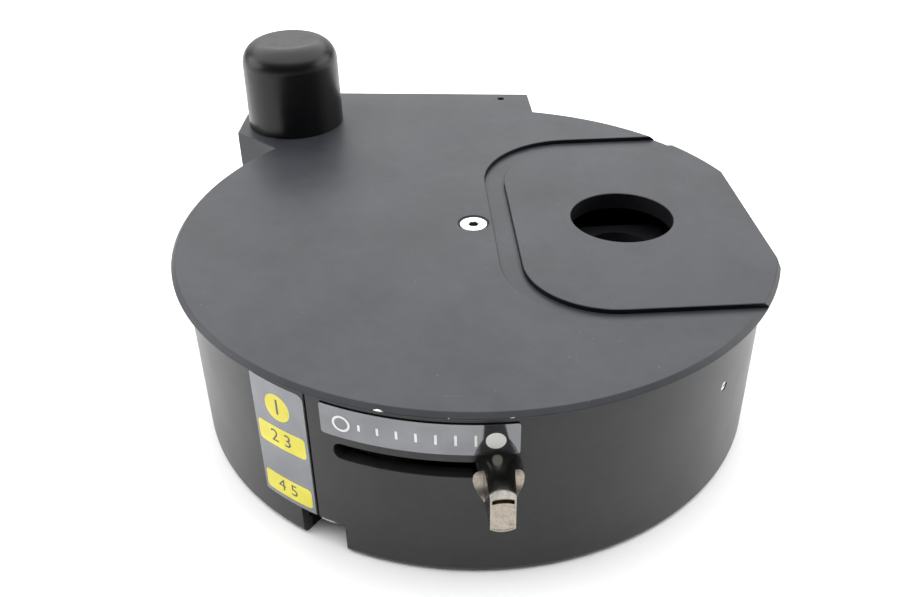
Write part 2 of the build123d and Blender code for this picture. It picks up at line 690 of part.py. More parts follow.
def spacer_sleeve():
    """Sleeve on the post between the upper bearing and the shutter frame."""
    return ring(BEARING_BORE + PRESS_GAP, BEARING_BORE + SLEEVE_WALL, BEARING_TOP_Z, FRAME_Z - STATIC_GAP)


def top_spacer():
    """Sleeve on the post between the shutter frame and the top plate."""
    return ring(BEARING_BORE + PRESS_GAP, BEARING_BORE + 2 * SLEEVE_WALL, FRAME_TOP + STATIC_GAP, SPIGOT_Z)


# ---------------------------------------------------------------- carousel
def carousel_disc():
    """Carousel disc with its hub, light bores and seats for the bearings."""
    body = disc(DISC_RADIUS, DISC_Z, CUBE_Z) + disc(HUB_RADIUS, HUB_Z, HUB_Z + HUB_HEIGHT)
    seat = BEARING_RADIUS + PRESS_GAP
    body -= disc(seat, HUB_Z, BEARING_LOW_Z + BEARING_WIDTH)
    body -= disc(seat, BEARING_HIGH_Z, HUB_Z + HUB_HEIGHT)
    body -= disc(BEARING_RADIUS - BEARING_RING, HUB_Z, HUB_Z + HUB_HEIGHT)
    for angle in STATION_ANGLES:
        body -= disc(CUBE_BORE_RADIUS, DISC_Z, CUBE_Z, polar(PATH_RADIUS, angle))
        body -= disc(INDEX_MAGNET_RADIUS + PRESS_GAP, DISC_Z, DISC_Z + INDEX_MAGNET_DEPTH,
                     polar(INDEX_RADIUS, angle + PITCH / 2))
    for centre in gear_screw_places():
        body -= disc(M3 + M3_TAP, DISC_Z, CUBE_Z, centre)
    for angle in STATION_ANGLES:
        for centre in guide_screw_places(angle + PITCH / 2):
            body -= disc(M3 + M3_TAP, DISC_Z, CUBE_Z, centre)
    return body


def index_magnets():
    """Magnets under the disc, one for each station."""
    return [disc(INDEX_MAGNET_RADIUS, DISC_Z, DISC_Z + INDEX_MAGNET_DEPTH,
                 polar(INDEX_RADIUS, angle + PITCH / 2)) for angle in STATION_ANGLES]


def gear_screw_places():
    """Places of the screws between the ring gear's lugs and the disc."""
    return [polar(GEAR_LUG_CIRCLE, angle + PITCH / 2) for angle in STATION_ANGLES]


def ring_gear():
    """Ring gear under the disc, raised inside its teeth to meet it."""
    body = gear(WHEEL_TEETH, DRIVE_ANGLE, 1, (0, 0), GEAR_Z, GEAR_Z + GEAR_FACE)
    body += disc(WHEEL_ROOT - GEAR_RAISE_INSET, GEAR_Z + GEAR_FACE, DISC_Z)
    body -= disc(WHEEL_ROOT - RING_WEB, GEAR_Z, DISC_Z)
    for centre in gear_screw_places():
        body += disc(GEAR_LUG_RADIUS, GEAR_Z, DISC_Z, centre)
        body -= disc(M3 + M3_DRILL, GEAR_Z, DISC_Z, centre)
        body -= disc(M3_HEAD + M3_DRILL, GEAR_Z, GEAR_Z + M3_HEAD_HEIGHT, centre)
    return body


def carousel_screws():
    """Screws from below that hold the ring gear and the wedges on the disc."""
    gear_seat = GEAR_Z + M3_HEAD_HEIGHT
    length = CUBE_Z - M3 / 2 - gear_seat
    screws = [socket_screw(length, centre, gear_seat, True) for centre in gear_screw_places()]
    for angle in STATION_ANGLES:
        for centre in guide_screw_places(angle + PITCH / 2):
            screws.append(socket_screw(DISC_THICKNESS + M3_GRIP, centre, DISC_Z, True))
    return screws


def cube_blank(grow):
    """Outer block of a filter cube on the +X side with its side tongues, grown by a clearance."""
    half = CUBE_WIDTH / 2 + grow
    low = PATH_RADIUS - CUBE_LENGTH / 2
    high = PATH_RADIUS + CUBE_LENGTH / 2
    body = slab(low, high, -half, half, CUBE_Z, CUBE_TOP)
    body = chamfer(body.edges().filter_by(Axis.Z), CUBE_CHAMFER)
    tongue = half + TONGUE_DEPTH
    tongue_z = CUBE_Z + TONGUE_RISE
    body += slab(low + CUBE_CHAMFER, high - CUBE_CHAMFER, -tongue, tongue,
                 tongue_z - grow, tongue_z + TONGUE_HEIGHT + grow)
    return body


def filter_cube():
    """Filter cube on the +X side: crossed bores, filter seats and the slot for the mirror."""
    outer_face = PATH_RADIUS + CUBE_LENGTH / 2
    body = cube_blank(0)
    body -= disc(CUBE_BORE_RADIUS, CUBE_Z, CUBE_TOP, (PATH_RADIUS, 0))
    body -= radial_rod(CUBE_BORE_RADIUS, PATH_RADIUS, outer_face, 0, AXIS_Z)
    seat = FILTER_RADIUS + PRESS_GAP
    body -= disc(seat, CUBE_Z, CUBE_Z + FILTER_THICKNESS, (PATH_RADIUS, 0))
    body -= radial_rod(seat, outer_face - FILTER_THICKNESS, outer_face, 0, AXIS_Z)
    return body - mirror_plate(PRESS_GAP)


def mirror_plate(grow):
    """Plate at 45 degrees through the cube's centre, grown by a clearance."""
    reach = 2 * CUBE_BORE_RADIUS * math.sqrt(2)
    width = 2 * (CUBE_BORE_RADIUS + MIRROR_SEAT)
    plate = Box(reach + 2 * grow, width + 2 * grow, MIRROR_THICKNESS + 2 * grow)
    return Pos(PATH_RADIUS, 0, AXIS_Z) * Rot(0, 45, 0) * plate


def filter_disc(is_exciter):
    """Round filter of the cube on the +X side: exciter in the outer face, emission filter below."""
    if is_exciter:
        outer_face = PATH_RADIUS + CUBE_LENGTH / 2
        seat = outer_face - FILTER_THICKNESS + PRESS_GAP
        return radial_rod(FILTER_RADIUS, seat, outer_face - FILTER_SINK, 0, AXIS_Z)
    seat = CUBE_Z + FILTER_THICKNESS - PRESS_GAP
    return disc(FILTER_RADIUS, CUBE_Z + FILTER_SINK, seat, (PATH_RADIUS, 0))


def cube_guides():
    """Wedges between the cubes, grooved for their tongues."""
    inner = PATH_RADIUS - CUBE_LENGTH / 2 + GUIDE_INSET
    top = CUBE_Z + TONGUE_RISE + TONGUE_HEIGHT + GUIDE_RISE
    blank = cube_blank(SLIDING_GAP)
    wedges = []
    for angle in STATION_ANGLES:
        middle = angle + PITCH / 2
        wedge = sector(inner, DISC_RADIUS - GUIDE_INSET, angle, angle + PITCH, CUBE_Z, top)
        wedge -= Rot(0, 0, angle) * blank
        wedge -= Rot(0, 0, angle + PITCH) * blank
        for centre in guide_screw_places(middle):
            wedge -= disc(M3 + M3_TAP, CUBE_Z, CUBE_Z + M3_GRIP + M3 / 2, centre)
        wedges.append(max(wedge.solids(), key=lambda solid: solid.volume))
    return wedges


def guide_screw_places(angle):
    """Places of the two screws that hold the wedge at an angle, clear of the ring gear's lugs."""
    outer = GEAR_LUG_CIRCLE - GEAR_LUG_RADIUS - M3_HEAD - FREE_GAP
    return [polar(radius, angle) for radius in (outer - GUIDE_SCREW_SPACING, outer)]


# ---------------------------------------------------------------- drive
def idler_pin():
    """Pin of the idler in the base plate, with its retaining head."""
    top = GEAR_Z + GEAR_FACE + STATIC_GAP
    pin = disc(IDLER_PIN_RADIUS, IDLER_PIN_FOOT, top, IDLER_CENTRE)
    return pin + disc(IDLER_PIN_HEAD_RADIUS, top, top + IDLER_PIN_HEAD, IDLER_CENTRE)


def idler_washer():
    """Thrust washer between the base plate and the idler."""
    return ring(IDLER_PIN_RADIUS + RUNNING_GAP, IDLER_WASHER_RADIUS, BASE_THICKNESS, GEAR_Z - STATIC_GAP,
                IDLER_CENTRE)


def idler_gear():
    """Idler between the ring gear and the pinion, lightened by round holes."""
    half_pitch = 180.0 / IDLER_TEETH
    body = gear(IDLER_TEETH, DRIVE_ANGLE + 180 + half_pitch, 2, IDLER_CENTRE, GEAR_Z, GEAR_Z + GEAR_FACE)
    body -= disc(IDLER_PIN_RADIUS + RUNNING_GAP, GEAR_Z, GEAR_Z + GEAR_FACE, IDLER_CENTRE)
    hole_circle = (IDLER_PITCH_RADIUS + IDLER_PIN_RADIUS) / 2
    for angle in (0, 90, 180, 270):
        shift = polar(hole_circle, angle)
        centre = (IDLER_CENTRE[0] + shift[0], IDLER_CENTRE[1] + shift[1])
        body -= disc(IDLER_HOLE_RADIUS, GEAR_Z, GEAR_Z + GEAR_FACE, centre)
    return body


def pinion():
    """Pinion with its hub, on the motor's output shaft."""
    face_top = GEAR_Z + GEAR_FACE
    hub_top = face_top + PINION_HUB
    phase = DRIVE_ANGLE + 180 + 180.0 / PINION_TEETH * (IDLER_TEETH % 2)
    body = gear(PINION_TEETH, phase, 2, MOTOR_CENTRE, GEAR_Z, face_top)
    body += disc(PINION_HUB_RADIUS, face_top, hub_top, MOTOR_CENTRE)
    return body - disc(SHAFT_RADIUS + PRESS_GAP, GEAR_Z, hub_top, MOTOR_CENTRE)


def output_shaft():
    """Output shaft of the gearhead."""
    return disc(SHAFT_RADIUS, GEAR_Z - 2 * FREE_GAP, GEARHEAD_Z + SHAFT_GRIP, MOTOR_CENTRE)


def gearhead():
    """Round gearhead, bored for the output shaft and tapped for its screws."""
    boss_z = GEARHEAD_Z - GEARHEAD_BOSS
    body = disc(MOTOR_RADIUS, GEARHEAD_Z, MOTOR_Z, MOTOR_CENTRE)
    body += disc(GEARHEAD_BOSS_RADIUS, boss_z, GEARHEAD_Z, MOTOR_CENTRE)
    body -= disc(SHAFT_RADIUS + RUNNING_GAP, boss_z, GEARHEAD_Z + SHAFT_GRIP + FREE_GAP, MOTOR_CENTRE)
    for centre in gearhead_screw_places():
        body -= disc(M3 + M3_TAP, GEARHEAD_Z, GEARHEAD_Z + M3_GRIP, centre)
    return body


def gearhead_screw_places():
    """Places of the gearhead's screws."""
    circle = MOTOR_RADIUS - M3_HEAD - 1.5 * M3
    return [from_motor(*polar(circle, DRIVE_ANGLE + turn)) for turn in (-50, 40, 130, 220)]


def gearhead_screws():
    """Screws from below that hold the gearhead on its bracket."""
    length = BRACKET_THICKNESS + M3_GRIP - 2 * FREE_GAP
    return [socket_screw(length, centre, BRACKET_Z, True) for centre in gearhead_screw_places()]


def drive_motor():
    """Motor on top of the gearhead, with a smaller end bell."""
    body = disc(MOTOR_RADIUS, MOTOR_Z, MOTOR_TOP, MOTOR_CENTRE)
    return body + disc(MOTOR_RADIUS - END_BELL, MOTOR_TOP, MOTOR_TOP + END_BELL, MOTOR_CENTRE)


def motor_cap():
    """Domed cap over the motor, a tapered shell with a large round."""
    low = LID_Z
    top = LID_Z + CAP_HEIGHT

    def shell(base, crown, roof, rounding):
        profile = Polyline((0, 0, low), (base, 0, low), (crown, 0, roof), (0, 0, roof), close=True)
        face = make_face(profile)
        corner = face.vertices().filter_by(lambda v: v.X > 0 and v.Z > low)
        return revolve(fillet(corner, rounding), Axis.Z)

    outer = shell(CAP_RADIUS, CAP_TOP_RADIUS, top, CAP_ROUND)
    inner = shell(CAP_RADIUS - CAP_WALL, CAP_TOP_RADIUS - CAP_WALL, top - CAP_WALL, CAP_ROUND - CAP_WALL)
    return Pos(MOTOR_CENTRE[0], MOTOR_CENTRE[1], 0) * (outer - inner)


def pillar_places():
    """Places of the pillars that carry the motor bracket."""
    places = []
    for turn in (-80, -15, 80):
        places.append(from_motor(*polar(PILLAR_CIRCLE, DRIVE_ANGLE + turn)))
    return places


def drive_housing():
    """Drive housing behind the skirt: floor, walls, bosses for its screws and pillars."""
    body = housing_prism(0, 0, FLANGE_Z) - housing_prism(HOUSING_WALL, HOUSING_FLOOR, FLANGE_Z)
    for centre in pillar_places():
        body += disc(PILLAR_RADIUS, HOUSING_FLOOR, BRACKET_Z, centre)
    body += disc(BLOCK_BOSS_RADIUS, SPIGOT_Z - M3_GRIP, FLANGE_Z, lid_hole_place())
    for angle, height in housing_screw_places():
        boss_end = SKIRT_RADIUS + BLOCK_BOSS_DEPTH
        body += radial_rod(BLOCK_BOSS_RADIUS, SKIRT_RADIUS - SKIRT_WALL, boss_end, angle, height)
        body -= radial_rod(M3 + M3_TAP, SKIRT_RADIUS - SKIRT_WALL, boss_end - FREE_GAP, angle, height)
    body -= disc(SKIRT_RADIUS + STATIC_GAP, 0, FLANGE_Z)
    body -= gear_clearance(HOUSING_FLOOR, GEAR_Z + GEAR_FACE + 4 * FREE_GAP)
    for centre in pillar_places():
        body -= disc(M3 + M3_TAP, HOUSING_FLOOR + BRACKET_THICKNESS, BRACKET_Z, centre)
    body -= disc(M3, SPIGOT_Z - M3_GRIP + M3, FLANGE_Z, lid_hole_place())
    body -= at_connector(disc(CONNECTOR_RADIUS, -2 * HOUSING_WALL, HOUSING_WALL))
    return max(body.solids(), key=lambda solid: solid.volume)


def at_connector(shape):
    """Turns a shape made along +Z so that it points out of the back wall at the connector's place."""
    x, y = back_wall_point(CONNECTOR_OFFSET)
    return Pos(x, y, CONNECTOR_Z) * Rot(0, 0, -BACK_ANGLE) * Rot(-90, 0, 0) * shape


def drive_connector():
    """Round panel connector in the back wall: shell with its flange, insert and pins."""
    outer = CONNECTOR_RADIUS - PRESS_GAP
    inner = outer - CONNECTOR_WALL
    shell = turned([
        (0, -CONNECTOR_BODY),
        (outer, -CONNECTOR_BODY),
        (outer, 0),
        (outer + CONNECTOR_RIM, 0),
        (outer + CONNECTOR_RIM, CONNECTOR_FLANGE),
        (outer, CONNECTOR_FLANGE),
        (outer, CONNECTOR_NOSE),
        (inner, CONNECTOR_NOSE),
        (inner, -CONNECTOR_SOCKET),
        (0, -CONNECTOR_SOCKET),
    ])
    for pin in range(CONNECTOR_PINS):
        centre = polar(CONNECTOR_PIN_CIRCLE, 360.0 * pin / CONNECTOR_PINS)
        shell += disc(CONNECTOR_PIN_RADIUS, -CONNECTOR_SOCKET, CONNECTOR_SOCKET, centre)
    return at_connector(shell)


def motor_bracket():
    """Bracket plate under the gearhead, on the pillars."""
    plate = housing_prism(HOUSING_WALL + STATIC_GAP, BRACKET_Z, GEARHEAD_Z)
    plate &= disc(BRACKET_RADIUS, BRACKET_Z, GEARHEAD_Z, MOTOR_CENTRE)
    plate -= disc(SKIRT_RADIUS + 2 * FREE_GAP, BRACKET_Z, GEARHEAD_Z)
    plate -= disc(GEARHEAD_BOSS_RADIUS + PRESS_GAP, BRACKET_Z, GEARHEAD_Z, MOTOR_CENTRE)
    for centre in gearhead_screw_places() + pillar_places():
        plate -= disc(M3 + M3_DRILL, BRACKET_Z, GEARHEAD_Z, centre)
    return plate


def bracket_screws():
    """Grub screws that hold the bracket on its pillars, below the motor's edge."""
    return [disc(M3, BRACKET_Z - M3_GRIP, GEARHEAD_Z - STATIC_GAP, centre) for centre in pillar_places()]


# ---------------------------------------------------------------- shutter
def shutter_frame():
    """Frame that turns on the post: hub, spokes and the arc that carries the blade."""
    outer = BLADE_RADIUS
    inner = outer - FRAME_RIM
    body = disc(FRAME_HUB_RADIUS, FRAME_Z, FRAME_TOP)
    body += sector(inner, outer, BAND_START, BLADE_HALF_ANGLE, FRAME_PLATE_Z, FRAME_TOP)
    for angle in SPOKE_ANGLES:
        spoke = slab(0, inner + FRAME_RIM / 2, -SPOKE_WIDTH / 2, SPOKE_WIDTH / 2, FRAME_PLATE_Z, FRAME_TOP)
        body += Rot(0, 0, angle) * spoke
    return body - disc(BEARING_BORE + RUNNING_GAP, FRAME_Z, FRAME_TOP)


def shutter_blade():
    """Curved blade and its band, one bent sheet: the blade covers the port, the band takes the lever."""
    low = AXIS_Z - PORT_BORE_RADIUS - BLADE_MARGIN
    blade = sector(BLADE_INNER, BLADE_RADIUS, -BLADE_HALF_ANGLE, BLADE_HALF_ANGLE, low, FRAME_PLATE_Z)
    band_low = LEVER_Z - BAND_HEIGHT / 2
    band_high = band_low + BAND_HEIGHT
    blade += sector(BLADE_INNER, BLADE_RADIUS, BAND_START, 0, band_low, band_high)
    for angle in SPOKE_ANGLES:
        half = math.degrees(SPOKE_WIDTH / 2 / BLADE_RADIUS)
        blade += sector(BLADE_INNER, BLADE_RADIUS, angle - half, angle + half, band_low, FRAME_PLATE_Z)
    hole_start = BLADE_INNER - BLADE_THICKNESS
    hole_end = BLADE_RADIUS + BLADE_THICKNESS
    blade -= radial_rod(STEM_NECK_RADIUS + PRESS_GAP, hole_start, hole_end, LEVER_ANGLE, LEVER_Z)
    for angle in (DETENT_ANGLE, DETENT_ANGLE + SHUTTER_TRAVEL):
        blade -= radial_rod(DETENT_HOLE_RADIUS, hole_start, hole_end, angle, DETENT_Z)
    return blade


def lever_stem():
    """Stem from the band through the slot, shouldered on the band, threaded into the knob."""
    head_end = BLADE_INNER - STATIC_GAP
    stem = disc(STEM_NECK_RADIUS, head_end - STEM_HEAD, KNOB_START + KNOB_THREAD)
    stem += disc(STEM_HEAD_RADIUS, head_end - STEM_HEAD, head_end)
    stem += disc(STEM_RADIUS, BLADE_RADIUS, KNOB_START)
    return radial(stem, LEVER_ANGLE, LEVER_Z)


def knob_flat_cutter(side, shoulder, end):
    """Space beside one of the knob's flats, with the round run-out of its cutter at the collar."""
    reach = 2 * KNOB_RADIUS
    outline = make_face(Polyline([(side * KNOB_ROOT_HALF_WIDTH, shoulder), (side * KNOB_HALF_WIDTH, end),
                                  (side * reach, end), (side * reach, shoulder)], close=True))
    beside = extrude(Plane.YZ * outline, KNOB_RADIUS, both=True)
    turn = shoulder + KNOB_CUTTER_RADIUS
    run_out = Pos(0, 0, turn) * Rot(90, 0, 0) * Cylinder(KNOB_CUTTER_RADIUS, 2 * reach)
    return beside & (run_out + slab(-KNOB_RADIUS, KNOB_RADIUS, -reach, reach, turn, end))


def shutter_knob():
    """Turned knob, tapered to its tip, with two slightly tapered flats that run out round at the collar."""
    shoulder = KNOB_START + KNOB_COLLAR
    end = KNOB_START + KNOB_LENGTH
    body = turned([
        (0, KNOB_START),
        (KNOB_RADIUS - KNOB_CHAMFER, KNOB_START),
        (KNOB_RADIUS, KNOB_START + KNOB_CHAMFER),
        (KNOB_RADIUS, shoulder),
        (KNOB_LAND_RADIUS, end - KNOB_LAND),
        (KNOB_TIP_RADIUS, end),
        (0, end),
    ])
    for side in (-1, 1):
        body -= knob_flat_cutter(side, shoulder, end)
    body -= slab(-KNOB_GROOVE_TOP, KNOB_GROOVE_HEIGHT - KNOB_GROOVE_TOP,
                 KNOB_GROOVE_WALL - KNOB_HALF_WIDTH, KNOB_HALF_WIDTH - KNOB_GROOVE_WALL,
                 end - KNOB_GROOVE_DEPTH, end)
    body -= disc(STEM_NECK_RADIUS + PRESS_GAP, KNOB_START, KNOB_START + KNOB_THREAD + STATIC_GAP)
    return radial(body, LEVER_ANGLE, LEVER_Z)


def detent_screw():
    """Ball plunger in the skirt that presses on the shutter's band."""
    tip = BLADE_RADIUS + RUNNING_GAP
    cone = DETENT_RADIUS - DETENT_PIN_RADIUS
    end = SKIRT_RADIUS - DETENT_SINK
    body = turned([
        (0, tip),
        (DETENT_PIN_RADIUS, tip + DETENT_PIN_RADIUS / 2),
        (DETENT_PIN_RADIUS, INNER_RADIUS - cone),
        (DETENT_RADIUS, INNER_RADIUS),
        (DETENT_RADIUS, end),
        (0, end),
    ])
    half_slot = DETENT_SLOT / 2
    body -= slab(-half_slot, half_slot, -DETENT_RADIUS, DETENT_RADIUS, end - DETENT_SLOT_DEPTH, end)
    return radial(body, DETENT_ANGLE, DETENT_Z)


# ---------------------------------------------------------------- access cover
def magnet_places():
    """Angles and heights of the cover's magnets and their keepers."""
    heights = (BASE_THICKNESS / 2, (SPIGOT_Z + FLANGE_Z) / 2)
    return [(COVER_MIDDLE + side, height) for side in (-MAGNET_SIDE, MAGNET_SIDE) for height in heights]


def keeper_holes(height):
    """Blind holes for the keepers in the edge of a plate at a height."""
    return [radial_rod(MAGNET_RADIUS + PRESS_GAP, REGISTER_RADIUS - KEEPER_LENGTH - STATIC_GAP,
                       REGISTER_RADIUS + SKIRT_WALL, COVER_MIDDLE + side, height)
            for side in (-MAGNET_SIDE, MAGNET_SIDE)]


def access_cover():
    """Curved cover over the opening for the filter cubes, with inner flanges and half the notch."""
    start = COVER_START + COVER_SEAM
    end = COVER_END - COVER_SEAM
    top = FLANGE_Z - SLIDING_GAP
    inner = SKIRT_RADIUS - COVER_THICKNESS
    flange = INNER_RADIUS + STATIC_GAP
    outer = turned([(INNER_RADIUS, 0), (SKIRT_RADIUS, 0), (SKIRT_RADIUS, top), (INNER_RADIUS, top)])
    foot = outer.edges().filter_by(GeomType.CIRCLE).group_by(Axis.Z)[0].sort_by(SortBy.RADIUS)[-1]
    panel = fillet(foot, SKIRT_EDGE_ROUND) & sector(inner, SKIRT_RADIUS + SKIRT_WALL, start, end, 0, top)
    for low, high in ((0, BASE_THICKNESS - SLIDING_GAP), (SPIGOT_Z, top)):
        panel += sector(flange, inner + COVER_THICKNESS / 4, start, end, low, high)
    panel -= finger_notch()
    for angle, height in magnet_places():
        pocket_end = flange + MAGNET_LENGTH
        panel -= radial_rod(MAGNET_RADIUS + PRESS_GAP, REGISTER_RADIUS, pocket_end, angle, height)
    return panel


def cover_magnets():
    """Magnets in the cover's flanges."""
    start = INNER_RADIUS + STATIC_GAP
    return [radial_rod(MAGNET_RADIUS, start, start + MAGNET_LENGTH, angle, height)
            for angle, height in magnet_places()]


def cover_keepers():
    """Steel keepers in the edges of the base plate and the top plate, behind the magnets."""
    start = REGISTER_RADIUS - KEEPER_LENGTH
    return [radial_rod(MAGNET_RADIUS, start, REGISTER_RADIUS - STATIC_GAP, angle, height)
            for angle, height in magnet_places()]


def cover_stop():
    """Thin steel stop at the top of the notch, beside the cover."""
    start = COVER_END + COVER_SEAM
    return sector(INNER_RADIUS, SKIRT_RADIUS - DETENT_SINK, start, start + STOP_LENGTH,
                  NOTCH_HEIGHT - STOP_THICKNESS, NOTCH_HEIGHT)


# ---------------------------------------------------------------- position sensor
def sensor_board():
    """Board of the position sensor, on its spacers, with the sensor's chip."""
    x, y = polar(INDEX_RADIUS, SENSOR_ANGLE)
    half = BOARD_LENGTH / 2
    low = BASE_THICKNESS + BOARD_SPACER
    top = low + BOARD_THICKNESS
    board = slab(-half, half, -BOARD_WIDTH / 2, BOARD_WIDTH / 2, low, top)
    board += slab(-CHIP_WIDTH / 2, CHIP_WIDTH / 2, -CHIP_WIDTH / 2, CHIP_WIDTH / 2, top, top + CHIP_HEIGHT)
    for side in (BOARD_SPACER - half, half - BOARD_SPACER):
        board += disc(BOARD_SPACER, BASE_THICKNESS, low, (side, 0))
    return Pos(x, y, 0) * board


# ---------------------------------------------------------------- nodes
def all_nodes():
    """Every node's name with its solid or solids."""
    nodes = {
        "top_plate": top_plate(),
        "skirt_wall": skirt_wall(),
        "base_plate": base_plate(),
        "drive_housing": drive_housing(),
        "motor_cap": motor_cap(),
        "access_cover": access_cover(),
        "cover_magnets": cover_magnets(),
        "cover_keepers": cover_keepers(),
        "cover_stop": cover_stop(),
        "centre_screw": centre_screw(),
        "centre_post": centre_post(),
        "post_screws": post_screws(),
        "base_screws": base_screws(),
        "housing_screws": housing_screws(),
        "bearing_inner_rings": bearing_inner_rings(),
        "bearing_outer_rings": bearing_outer_rings(),
        "spacer_sleeve": spacer_sleeve(),
        "top_spacer": top_spacer(),
        "carousel_disc": carousel_disc(),
        "ring_gear": ring_gear(),
        "carousel_screws": carousel_screws(),
        "index_magnets": index_magnets(),
        "cube_guides": cube_guides(),
        "idler_gear": idler_gear(),
        "idler_pin": idler_pin(),
        "idler_washer": idler_washer(),
        "pinion": pinion(),
        "output_shaft": output_shaft(),
        "gearhead": gearhead(),
        "gearhead_screws": gearhead_screws(),
        "drive_motor": drive_motor(),
        "motor_bracket": motor_bracket(),
        "bracket_screws": bracket_screws(),
        "drive_connector": drive_connector(),
        "sensor_board": sensor_board(),
        "shutter_frame": shutter_frame(),
        "shutter_blade": shutter_blade(),
        "lever_stem": lever_stem(),
        "shutter_knob": shutter_knob(),
        "detent_screw": detent_screw(),
    }
    cube = filter_cube()
    exciter = filter_disc(True)
    emitter = filter_disc(False)
    mirror = mirror_plate(0)
    for number, angle in enumerate(STATION_ANGLES, start=1):
        turn = Rot(0, 0, angle)
        nodes[f"filter_cube_{number}"] = turn * cube
        nodes[f"exciter_filter_{number}"] = turn * exciter
        nodes[f"emission_filter_{number}"] = turn * emitter
    nodes["dichroic_mirrors"] = [Rot(0, 0, angle) * mirror for angle in STATION_ANGLES]
    return nodes


def main():
    """Writes one STEP file for each node."""
    os.makedirs("parts", exist_ok=True)
    for name, shape in all_nodes().items():
        solids = shape if isinstance(shape, list) else [shape]
        body = solids[0] if len(solids) == 1 else Compound(children=[Part(s.wrapped) for s in solids])
        export_step(body, f"parts/{name}.step")


if __name__ == "__main__":
    main()
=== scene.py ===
"""Looks of an optical filter wheel: a round, black housing with its drive block, lever and cover.

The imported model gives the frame. The outer shells are modelled here with their broken edges, the
labels are thin printed films on the skirt, and every piece gets a procedural finish. Sizes are in
millimetres and angles in degrees, counted from +X towards +Y, unless a name says otherwise.
"""
from __future__ import annotations

import logging
import math
from dataclasses import dataclass, field
from enum import Enum
from typing import Callable, Iterable, Sequence, Union

import bmesh
import bpy
from mathutils import Matrix, Vector

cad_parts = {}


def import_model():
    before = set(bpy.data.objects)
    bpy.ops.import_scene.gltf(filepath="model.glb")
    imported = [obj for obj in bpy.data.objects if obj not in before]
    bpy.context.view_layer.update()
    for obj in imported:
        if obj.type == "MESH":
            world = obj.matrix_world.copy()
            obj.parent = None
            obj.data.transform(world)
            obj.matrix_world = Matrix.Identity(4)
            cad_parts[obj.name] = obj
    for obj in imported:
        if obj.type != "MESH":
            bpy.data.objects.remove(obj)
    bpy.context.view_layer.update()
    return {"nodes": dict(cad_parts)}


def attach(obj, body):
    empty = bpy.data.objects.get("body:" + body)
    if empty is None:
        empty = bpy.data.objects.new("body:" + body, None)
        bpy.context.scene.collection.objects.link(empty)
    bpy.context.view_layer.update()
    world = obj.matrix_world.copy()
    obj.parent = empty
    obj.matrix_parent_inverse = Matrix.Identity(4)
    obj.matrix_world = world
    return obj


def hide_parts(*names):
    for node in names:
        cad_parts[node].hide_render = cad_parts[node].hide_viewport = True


MM = 0.001
ROUND_STEPS = 720           # facets of the large round walls
INK = 0.02                  # thickness of printed ink, in millimetres
Point = tuple[float, float]
Colour = tuple[float, float, float]
log = logging.getLogger("filter_wheel")


# ---------------------------------------------------------------- plane geometry
def polar(radius: float, angle: float) -> Point:
    """Point at a radius and an angle."""
    return (radius * math.cos(math.radians(angle)), radius * math.sin(math.radians(angle)))


def arc(centre: Point, radius: float, start: float, end: float, steps: int) -> list[Point]:
    """Points along an arc, both ends included.

    Args:
        centre: Middle of the arc.
        radius: Its radius.
        start: Angle of the first point.
        end: Angle of the last point.
        steps: Number of chords.

    Returns:
        The points from start to end.
    """
    turns = [start + (end - start) * step / steps for step in range(steps + 1)]
    return [(centre[0] + x, centre[1] + y) for x, y in (polar(radius, turn) for turn in turns)]


def circle(radius: float, steps: int, centre: Point = (0.0, 0.0)) -> list[Point]:
    """Points round a circle, without the repeated last one."""
    return arc(centre, radius, 0, 360, steps)[:-1]


@dataclass(frozen=True)
class RoundedOutline:
    """Closed outline through corners listed counter-clockwise, each corner with its own rounding."""

    corners: tuple[Point, ...]
    radii: tuple[float, ...]

    def points(self, grow: float = 0.0, steps: int = 12) -> list[Point]:
        """Points round the outline.

        Args:
            grow: Distance by which the outline moves outwards.
            steps: Chords in each rounded corner.

        Returns:
            The points, counter-clockwise.
        """
        corners = self._grown(grow)
        found: list[Point] = []
        for index, corner in enumerate(corners):
            before = Vector(corners[index - 1]) - Vector(corner)
            after = Vector(corners[(index + 1) % len(corners)]) - Vector(corner)
            turn_left = before.normalized().cross(after.normalized()) < 0
            radius = self.radii[index] + (grow if turn_left else -grow)
            if self.radii[index] <= 0 or radius <= 0:
                found.append(tuple(corner))
                continue
            half = before.angle(after) / 2
            inward = (before.normalized() + after.normalized()).normalized()
            middle = Vector(corner) + inward * radius / math.sin(half)
            first = Vector(corner) + before.normalized() * radius / math.tan(half) - middle
            last = Vector(corner) + after.normalized() * radius / math.tan(half) - middle
            start = math.degrees(math.atan2(first.y, first.x))
            swing = math.degrees(math.atan2(first.cross(last), first.dot(last)))
            found += arc(tuple(middle), radius, start, start + swing, steps)
        return found

    def _grown(self, grow: float) -> list[Vector]:
        """Corners of the outline after its sides have moved outwards."""
        count = len(self.corners)
        points = [Vector(corner) for corner in self.corners]
        moved = []
        for index in range(count):
            here = points[index]
            back = (here - points[index - 1]).normalized()
            on = (points[(index + 1) % count] - here).normalized()
            out_back = Vector((back.y, -back.x))
            out_on = Vector((on.y, -on.x))
            middle = out_back + out_on
            moved.append(here + middle * grow / (1 + out_back.dot(out_on)))
        return moved


